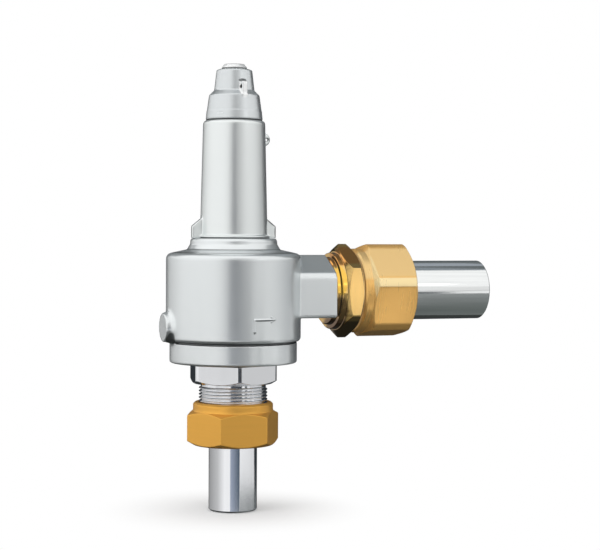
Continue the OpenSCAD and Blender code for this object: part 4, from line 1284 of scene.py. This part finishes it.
@dataclass
class OutletUnion:
    """Adaptor, union nut and stub pipe at the side."""

    adaptor_af: float = 58.0
    adaptor_bore_r: float = 12.5
    adaptor_far: float = 108.0
    mouth_r: float = 17.7
    screw_r: float = 16.0
    screw_near: float = 52.5
    chamfer: float = 0.8
    block_end: float = 68.0
    collar_far: float = 71.2
    hexagon_near: float = 75.0
    hexagon_far: float = 87.0
    nut_near: float = 88.0
    nut_far: float = 127.5
    nut_shoulder: float = 94.0
    nut_floor: float = 116.0
    nut_hole_r: float = 21.5
    nut_thread_r: float = 26.15
    collar_chamfer: float = 1.2
    tail_collar_r: float = 24.4
    tail_near: float = 110.0
    tail_step: float = 0.6
    stub_end: float = 188.5
    thread_start: float = 88.0
    thread_length: float = 19.6
    sleeve_r: float = 20.0
    nut_af: float = 62.0
    nut_turn: float = 18.2
    nut_bar_r: float = 34.15
    thread_r: float = 26.0
    pitch: float = 2.0
    stub_r: float = 21.2
    bore_r: float = 18.0

    def adaptor_outline(self, angle: float) -> np.ndarray:
        """Section of the adaptor at an angle from a hexagon's corner."""
        flat = self.adaptor_af / 2
        wide = hexagon_radius(flat, 0.8, angle)
        face = flat - 1.0
        rim = flat - 1.9
        step = rim - 3.2
        root = self.thread_r - 1.2
        near, far, end = self.hexagon_near, self.hexagon_far, self.block_end
        bore, screw, start, cut = self.adaptor_bore_r, self.screw_r, self.screw_near, self.chamfer
        corners = [(bore, start), (screw - cut, start), (screw, start + cut), (screw, end), (step - cut, end),
                   (step, end + cut), (step, self.collar_far), (rim, self.collar_far), (rim, near),
                   (face, near), (wide, near + (wide - face) * CHAMFER),
                   (wide, far - (wide - face) * CHAMFER), (face, far), (root, far), (root, self.adaptor_far),
                   (self.mouth_r, self.adaptor_far), (bore, near)]
        rounding = [0.1, 0.1, 0.1, 0.1, 0.3, 0.3, 0.3, 0.5, 0.3, 0.1, 0.4, 0.4, 0.3, 0.4, 0.3, 0.3, 0.1]
        return rounded_path(corners, rounding, 3)

    def nut_outline(self, angle: float) -> np.ndarray:
        """Section of the union nut at an angle from a hexagon's corner."""
        flat = self.nut_af / 2
        wide = min(hexagon_radius(flat, 0.9, angle - self.nut_turn), self.nut_bar_r)
        face, high, collar = flat - 1.8, flat - 0.75, flat - 1.0
        near, far, shoulder = self.nut_near, self.nut_far, self.nut_shoulder
        hole, thread, chamfer = self.nut_hole_r, self.nut_thread_r, self.collar_chamfer
        corners = [(thread, near), (collar - chamfer, near), (collar, near + chamfer),
                   (collar, shoulder - 0.1), (high, shoulder), (wide, shoulder + (wide - high) * CHAMFER),
                   (wide, far - (wide - face) * CHAMFER), (face, far), (hole, far), (hole, self.nut_floor),
                   (thread, self.nut_floor)]
        rounding = [0.3, 0.5, 0.5, 0.3, 0.3, 0.5, 0.5, 0.5, 0.4, 0.1, 0.1]
        return rounded_path(corners, rounding, 3)

    def build(self, shop: Workshop) -> None:
        """Makes the union's pieces."""
        adaptor = swept_shell(self.adaptor_outline, hexagon_angles(0.0, 1.8), Axis.OUTLET)
        thread = shop.thread(root=self.thread_r - 1.25, crest=self.thread_r, inner=self.sleeve_r,
                             pitch=self.pitch, start=self.thread_start, length=self.thread_length,
                             axis=Axis.OUTLET)
        piece = shop.fit("outlet_adaptor_hexagon", [adaptor, thread], BRIGHT_BRASS, "outlet_adaptor", "valve")
        piece.visible_glossy = False
        nut = swept_shell(self.nut_outline, hexagon_angles(self.nut_turn, 4.2), Axis.OUTLET)
        piece = shop.fit("outlet_union_nut", [nut], BRASS_OUTLET, "outlet_nut", "outlet_nut")
        piece.visible_glossy = False
        stub = turned_shell(
            [(self.bore_r, self.tail_near), (self.tail_collar_r, self.tail_near),
             (self.tail_collar_r, self.nut_floor), (self.stub_r - self.tail_step, self.nut_floor),
             (self.stub_r - self.tail_step, 127.7), (self.stub_r, 128.3),
             (self.stub_r, self.stub_end - self.chamfer), (self.stub_r - self.chamfer, self.stub_end),
             (self.bore_r, self.stub_end)],
            [0.3, 0.3, 0.3, 0.1, 0.2, 0.2, 0.4, 0.4, 0.3], Axis.OUTLET, segments=144)
        shop.fit("outlet_stub_pipe", [stub], POLISHED_OUTLET, "outlet_tail", "outlet_stub")


@dataclass
class SpringCoils:
    """The spring in two lengths: the lower turns and the upper turns."""

    mean_r: float = 13.0
    wire_r: float = 2.0
    turns: float = 7.0
    closed: float = 4.48
    split: float = 4.1
    sides: int = 12
    steps: int = 40

    def length(self, first: float, last: float, foot: float, span: float) -> Shell:
        """Winds one length of the wire.

        Args:
            first: Turn at which it begins.
            last: Turn at which it ends.
            foot: Height of the wire's middle at the spring's start.
            span: Rise over all its turns.

        Returns:
            A closed tube.
        """
        count = int((last - first) * self.steps) + 1
        turn = np.linspace(first, last, count)[:, None]
        rise = np.interp(turn, [0.0, 1.0, self.turns - 1.0, self.turns],
                         [0.0, self.closed, span - self.closed, span])
        around = 2.0 * math.pi * np.arange(self.sides)[None, :] / self.sides
        radius = self.mean_r + self.wire_r * np.cos(around)
        angle = 2.0 * math.pi * turn
        points = np.stack([radius * np.cos(angle), radius * np.sin(angle),
                           foot + rise + self.wire_r * np.sin(around)], axis=2).reshape(-1, 3)
        faces: list[tuple[int, ...]] = []
        for i in range(count - 1):
            for k in range(self.sides):
                n = (k + 1) % self.sides
                faces.append(tuple(i * self.sides + j for j in (k, n, self.sides + n, self.sides + k)))
        faces.append(tuple(range(self.sides)))
        faces.append(tuple(range((count - 1) * self.sides, count * self.sides)))
        return points, faces

    def build(self, shop: Workshop) -> None:
        """Makes both lengths in the spring's place and hides the CAD spring."""
        low, high = (corner[2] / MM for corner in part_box("spring"))
        foot = low + self.wire_r
        span = high - low - 2.0 * self.wire_r
        clear = self.wire_r + 1.0
        end = self.closed + self.wire_r
        for name, body, first, last, seat, gap in (
                ("spring_lower_coils", "disc", 0.0, self.split, low + end, clear),
                ("spring_upper_coils", "spring_follower", self.split, self.turns, high - end, -clear)):
            piece = make_piece(name, [self.length(first, last, foot, span)], shop.finish(POLISHED))
            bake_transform(piece)
            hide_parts("spring")
            LOG.info("%s: %d faces between %s and valve", name, len(piece.data.polygons), body)


@dataclass
class InnerPieces:
    """The pieces inside, which keep their CAD meshes and get finishes."""

    finishes: tuple[tuple[str, Finish], ...] = (
        ("disc_guide", BRASS), ("disc_holder", INNER_STEEL), ("disc_seal", WHITE_SEAL),
        ("seal_retainer", INNER_STEEL), ("retainer_screw", INNER_STEEL), ("spindle", POLISHED),
        ("spindle_pin", POLISHED), ("lower_spring_seat", INNER_STEEL), ("upper_spring_seat", INNER_STEEL),
        ("adjusting_screw", INNER_STEEL), ("lock_nut", INNER_STEEL), ("inlet_gasket", WHITE_SEAL),
        ("outlet_gasket", WHITE_SEAL), ("bonnet_gasket", DARK_FIBRE))

    def dress(self, shop: Workshop) -> None:
        """Gives each CAD node its material."""
        for node, finish in self.finishes:
            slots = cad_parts[node].data.materials
            slots.clear()
            slots.append(shop.finish(finish))
            LOG.info("%s keeps its CAD mesh in %s", node, finish.name)


def grey(level: float) -> Colour:
    """A neutral colour of a given level."""
    return (level, level, level)


# Far cards: name, sides, heights, colour, colour at the other side, and whether that is the upper edge.
FAR_CARDS: tuple[tuple[Any, ...], ...] = (
    ("stub_flag", (-10.0, 35.0), (-13.0, -7.2), (0.38, 0.43, 0.54), (0.055, 0.085, 0.12)),
    ("thread_flag", (-6.0, 34.0), (-7.2, -4.3), grey(0.04)),
    ("shell_flag", (-4.0, 18.0), (-4.3, 0.5), (0.035, 0.04, 0.05)),
    ("shell_side_flag", (18.0, 64.0), (-4.3, 0.5), grey(0.26), grey(0.95)),
    ("hexagon_flag", (-62.0, -14.0), (-6.8, -4.7), grey(0.72)),
    ("shell_left_flag", (-20.0, -4.0), (-4.3, 0.5), grey(0.95), grey(0.35)),
    ("bonnet_left_flag", (-26.0, -5.0), (0.5, 9.0), grey(0.98), grey(0.55)),
    ("bonnet_flag", (-5.0, 12.0), (0.5, 9.0), (0.05, 0.055, 0.075)),
    ("bonnet_side_flag", (12.0, 45.0), (0.5, 12.0), grey(0.46), grey(0.86)),
    ("bonnet_right_flag", (45.0, 85.0), (0.5, 12.0), grey(0.86), grey(0.8)),
    ("cap_flag", (-14.0, 8.0), (9.0, 36.0), grey(0.85), grey(0.4)),
    ("cap_side_flag", (8.0, 44.0), (9.0, 36.0), grey(0.4), grey(0.9)),
    ("low_left_flag", (-165.0, -75.0), (-20.0, -6.8), grey(0.25), grey(0.58)),
    ("low_key_flag", (-75.0, -33.0), (-20.0, -6.8), grey(0.58), grey(1.05)),
    ("left_flag", (-150.0, -95.0), (-6.8, 12.0), grey(0.45), grey(0.97)),
    ("low_right_flag", (46.0, 135.0), (-11.0, -6.8), grey(0.98), grey(0.75)),
    ("level_right_flag", (46.0, 62.0), (-6.8, -4.3), grey(0.98), grey(0.94)),
    ("hexagon_right_flag", (62.0, 135.0), (-6.8, -4.3), grey(0.62), grey(0.6)),
    ("right_flag", (64.0, 116.0), (-4.3, 0.5), grey(0.88), (0.29, 0.32, 0.35)),
    ("high_right_flag", (85.0, 135.0), (0.5, 12.0), grey(0.78), grey(0.2)),
    ("back_flag", (124.0, 216.0), (-30.0, 20.0), (0.03, 0.035, 0.04)),
    ("high_back_flag", (110.0, 235.0), (20.0, 62.0), (0.14, 0.155, 0.16)),
    ("high_light_strip", (-130.0, 50.0), (36.0, 54.0), grey(1.12)),
    ("roof_edge_flag", (100.0, 240.0), (60.0, 68.0), (0.26, 0.29, 0.32), (0.2, 0.22, 0.23)),
    ("roof_flag", (100.0, 240.0), (68.0, 89.0), (0.3, 0.33, 0.36), (0.2, 0.22, 0.23)),
    ("left_table_flag", (152.0, 396.0), (-89.0, -20.0), (0.04, 0.045, 0.043)),
    ("right_table_flag", (36.0, 152.0), (-72.0, -11.0), (0.10, 0.115, 0.11), (0.27, 0.285, 0.285), True),
    ("under_table_flag", (36.0, 152.0), (-89.0, -72.0), (0.11, 0.125, 0.125)))
# Near cards: name, middle, half its width, half its height, and the colours of its lower and upper edge.
NEAR_CARDS: tuple[tuple[Any, ...], ...] = (
    ("outlet_flag", (0.51, -0.957, 0.005), (0.08433, 0.0315, 0.0), (0.0, 0.0, 0.065), (0.15, 0.165, 0.17)),
    ("adaptor_light", (0.497, -1.02, 0.0975), (0.035, 0.013, 0.0), (0.0, 0.0, 0.0425), grey(1.45)),
    ("nut_reflector", (0.1565, -0.114, 0.071), (0.0185, 0.0, 0.0), (0.0, 0.0, 0.041), grey(2.1), grey(0.95)),
    ("hexagon_near_flag", (0.0639, -0.0528, 0.087), (0.0089, 0.0179, 0.0), (0.0, 0.0, 0.015), grey(0.66)),
    ("nut_corner_light", (0.472, -0.793, 0.479), (0.07, 0.033, 0.0), (0.0, 0.016, 0.042), grey(1.9)),
    ("stub_top_card", (0.318, 0.19, 0.48), (0.06, 0.0, 0.0), (0.0, 0.09, 0.0), (0.34, 0.37, 0.41)))


@dataclass
class Studio:
    """Camera, floor, lamps and cards. Lengths are metres, lens and sensor millimetres, angles degrees."""

    azimuth: float = -20.5
    distance: float = 1.147
    eye_height: float = 0.1977
    offset: float = 0.0462
    tilt: float = 1.70
    roll: float = 0.3
    lens: float = 99.0
    sensor: float = 36.0
    floor_z: float = -0.0004
    floor_reach: float = 40.0
    floor_fade: Point = (0.0, 0.10)
    sky_light: float = 0.75
    card_distance: float = 4.0
    card_level: float = 0.15
    card_step: float = 6.0
    aim: Place = (0.03, 0.0, 0.16)

    def camera(self) -> None:
        """Sets the camera at the photograph's angle."""
        a = math.radians(self.azimuth)
        ahead = Vector((-math.sin(a), math.cos(a), 0.0))
        right = Vector((math.cos(a), math.sin(a), 0.0))
        data = bpy.data.cameras.new("camera")
        data.lens = self.lens
        data.sensor_width = self.sensor
        data.clip_start = 0.01
        camera = add_object("camera", data)
        eye = Vector((0.0, 0.0, self.eye_height))
        camera.location = -self.distance * ahead + self.offset * right + eye
        level = Euler((math.radians(90.0 - self.tilt), 0.0, a)).to_matrix()
        camera.rotation_euler = (level @ Matrix.Rotation(math.radians(self.roll), 3, "Z")).to_euler()
        bpy.context.scene.camera = camera

    def card(self, name: str, sides: Point, heights: Point, first: Colour, last: Colour | None = None,
             rising: bool = False) -> None:
        """Hangs a flag far from the set, which only reflections see.

        Args:
            name: The card's name.
            sides: Directions of its two sides, in degrees to the right of the camera.
            heights: Angles of its lower and upper edge above level.
            first: How it looks at its left side, or at its lower edge.
            last: How it looks at the other side or edge, when that differs.
            rising: Whether its colour changes upwards instead of to the right.
        """
        across = max(2, int((sides[1] - sides[0]) / self.card_step))
        upward = max(2, int((heights[1] - heights[0]) / self.card_step))
        points, faces, colours = [], [], []
        for i in range(across + 1):
            turn = math.radians(self.azimuth - 90.0 + sides[0] + (sides[1] - sides[0]) * i / across)
            for k in range(upward + 1):
                share = k / upward if rising else i / across
                rise = math.radians(heights[0] + (heights[1] - heights[0]) * k / upward)
                level = self.card_distance * math.cos(rise)
                points.append((level * math.cos(turn), level * math.sin(turn),
                               self.card_level + self.card_distance * math.sin(rise)))
                colours.append(tuple(a + (b - a) * share for a, b in zip(first, last or first)))
        row = upward + 1
        for i in range(across):
            for k in range(upward):
                faces.append((i * row + k, (i + 1) * row + k, (i + 1) * row + k + 1, i * row + k + 1))
        self.stage_mesh(name, points, faces, colours)

    def near_card(self, name: str, middle: Place, side: Place, rise: Place, low: Colour,
                  high: Colour | None = None) -> None:
        """Hangs a four-cornered card near the set, which only reflections see.

        Args:
            name: The card's name.
            middle: Its middle.
            side: Half its width, as a direction.
            rise: Half its height, as a direction.
            low: How its lower edge looks.
            high: How its upper edge looks, when that differs.
        """
        corners = [tuple(m + a * s + b * r for m, s, r in zip(middle, side, rise))
                   for a, b in ((-1, -1), (1, -1), (1, 1), (-1, 1))]
        self.stage_mesh(name, corners, [(0, 1, 2, 3)], [low] * 2 + [high or low] * 2)

    def stage_mesh(self, name: str, points: Sequence[Any], faces: Sequence[Any],
                   colours: Sequence[Colour]) -> None:
        """Adds a mesh that only reflections see, with a colour at each point."""
        mesh = bpy.data.meshes.new(name)
        mesh.from_pydata(points, [], faces)
        glows = mesh.color_attributes.new("glow", "FLOAT_COLOR", "POINT")
        glows.data.foreach_set("color", [value for colour in colours for value in (*colour, 1.0)])
        material, graph = blank_material(name)
        look = graph.node("ShaderNodeAttribute", {"attribute_name": "glow"})
        glow = graph.node("ShaderNodeEmission", None, {"Color": look.outputs["Color"], "Strength": 1.0})
        graph.node("ShaderNodeOutputMaterial", None, {"Surface": glow.outputs[0]})
        mesh.materials.append(material)
        card = add_object(name, mesh)
        card.visible_camera = False
        card.visible_diffuse = False
        card.visible_shadow = False
        card.visible_transmission = False

    def floor(self) -> None:
        """Lays a pale floor that keeps the object's shadow and fades to white."""
        mesh = bpy.data.meshes.new("floor")
        corners = [(self.floor_reach * a, self.floor_reach * b, self.floor_z)
                   for a, b in ((-1, -1), (1, -1), (1, 1), (-1, 1))]
        mesh.from_pydata(corners, [], [(0, 1, 2, 3)])
        material, graph = blank_material("pale_floor")
        place = graph.node("ShaderNodeTexCoord").outputs["Object"]
        length = graph.node("ShaderNodeVectorMath", {"operation": "LENGTH"}, {0: place})
        far = Wire(graph, length.outputs["Value"])
        seen = graph.seen()
        tone = graph.blend(seen, (0.2, 0.2, 0.2, 1.0), (0.93, 0.93, 0.93, 1.0))
        paper = graph.node("ShaderNodeBsdfDiffuse", None, {"Color": tone})
        white = graph.node("ShaderNodeEmission", None, {"Color": (1.0, 1.0, 1.0, 1.0), "Strength": 1.0})
        mixed = graph.node("ShaderNodeMixShader", None, {
            0: far.ramp(*self.floor_fade) * seen, 1: paper.outputs[0], 2: white.outputs[0]})
        graph.node("ShaderNodeOutputMaterial", None, {"Surface": mixed.outputs[0]})
        mesh.materials.append(material)
        floor = add_object("floor", mesh)
        floor.visible_glossy = False

    def world(self) -> None:
        """Makes the surroundings white where they are seen, and soft where they light."""
        world = bpy.data.worlds.new("white_room")
        world.use_nodes = True
        graph = Graph(world.node_tree)
        strength = graph.seen() * (1.0 - self.sky_light) + self.sky_light
        sky = graph.node("ShaderNodeBackground", None, {"Color": (1.0, 1.0, 1.0, 1.0), "Strength": strength})
        graph.node("ShaderNodeOutputWorld", None, {"Surface": sky.outputs[0]})
        bpy.context.scene.world = world

    def lamp(self, name: str, azimuth: float, height: float, distance: float, size: tuple[float, float],
             level: float) -> None:
        """Hangs a soft box that looks at the valve.

        Args:
            name: The lamp's name.
            azimuth: Direction from the valve, in degrees to the right of the camera.
            height: Height of its middle in metres.
            distance: Level distance from the valve.
            size: Width and height in metres.
            level: How bright its face looks.
        """
        toward = math.radians(self.azimuth - 90.0 + azimuth)
        data = bpy.data.lights.new(name, "AREA")
        data.shape = "RECTANGLE"
        data.size, data.size_y = size
        data.energy = level * math.pi * size[0] * size[1]
        lamp = add_object(name, data)
        lamp.location = (distance * math.cos(toward), distance * math.sin(toward), height)
        aim = Vector(self.aim) - lamp.location
        lamp.rotation_euler = aim.to_track_quat("-Z", "Y").to_euler()
        lamp.visible_camera = False
        lamp.visible_glossy = False

    def build(self) -> None:
        """Sets up the whole studio."""
        bpy.context.scene.view_settings.view_transform = "Standard"
        self.camera()
        self.floor()
        self.world()
        self.lamp("key_soft_box", -60.0, 0.6, 1.9, (1.3, 1.5), 2.8)
        self.lamp("front_soft_box", 18.0, 0.7, 1.9, (1.2, 1.2), 1.8)
        for far in FAR_CARDS:
            self.card(*far)
        for near in NEAR_CARDS:
            self.near_card(*near)


def main() -> None:
    """Builds the valve and its studio."""
    logging.basicConfig(level=logging.INFO, format="%(name)s: %(message)s")
    Studio().build()
    shop = Workshop()
    for assembly in (CastBody(), Bonnet(), Cap(), InletUnion(), OutletUnion(), SpringCoils()):
        assembly.build(shop)
    InnerPieces().dress(shop)


if __name__ == "__main__":
    main()
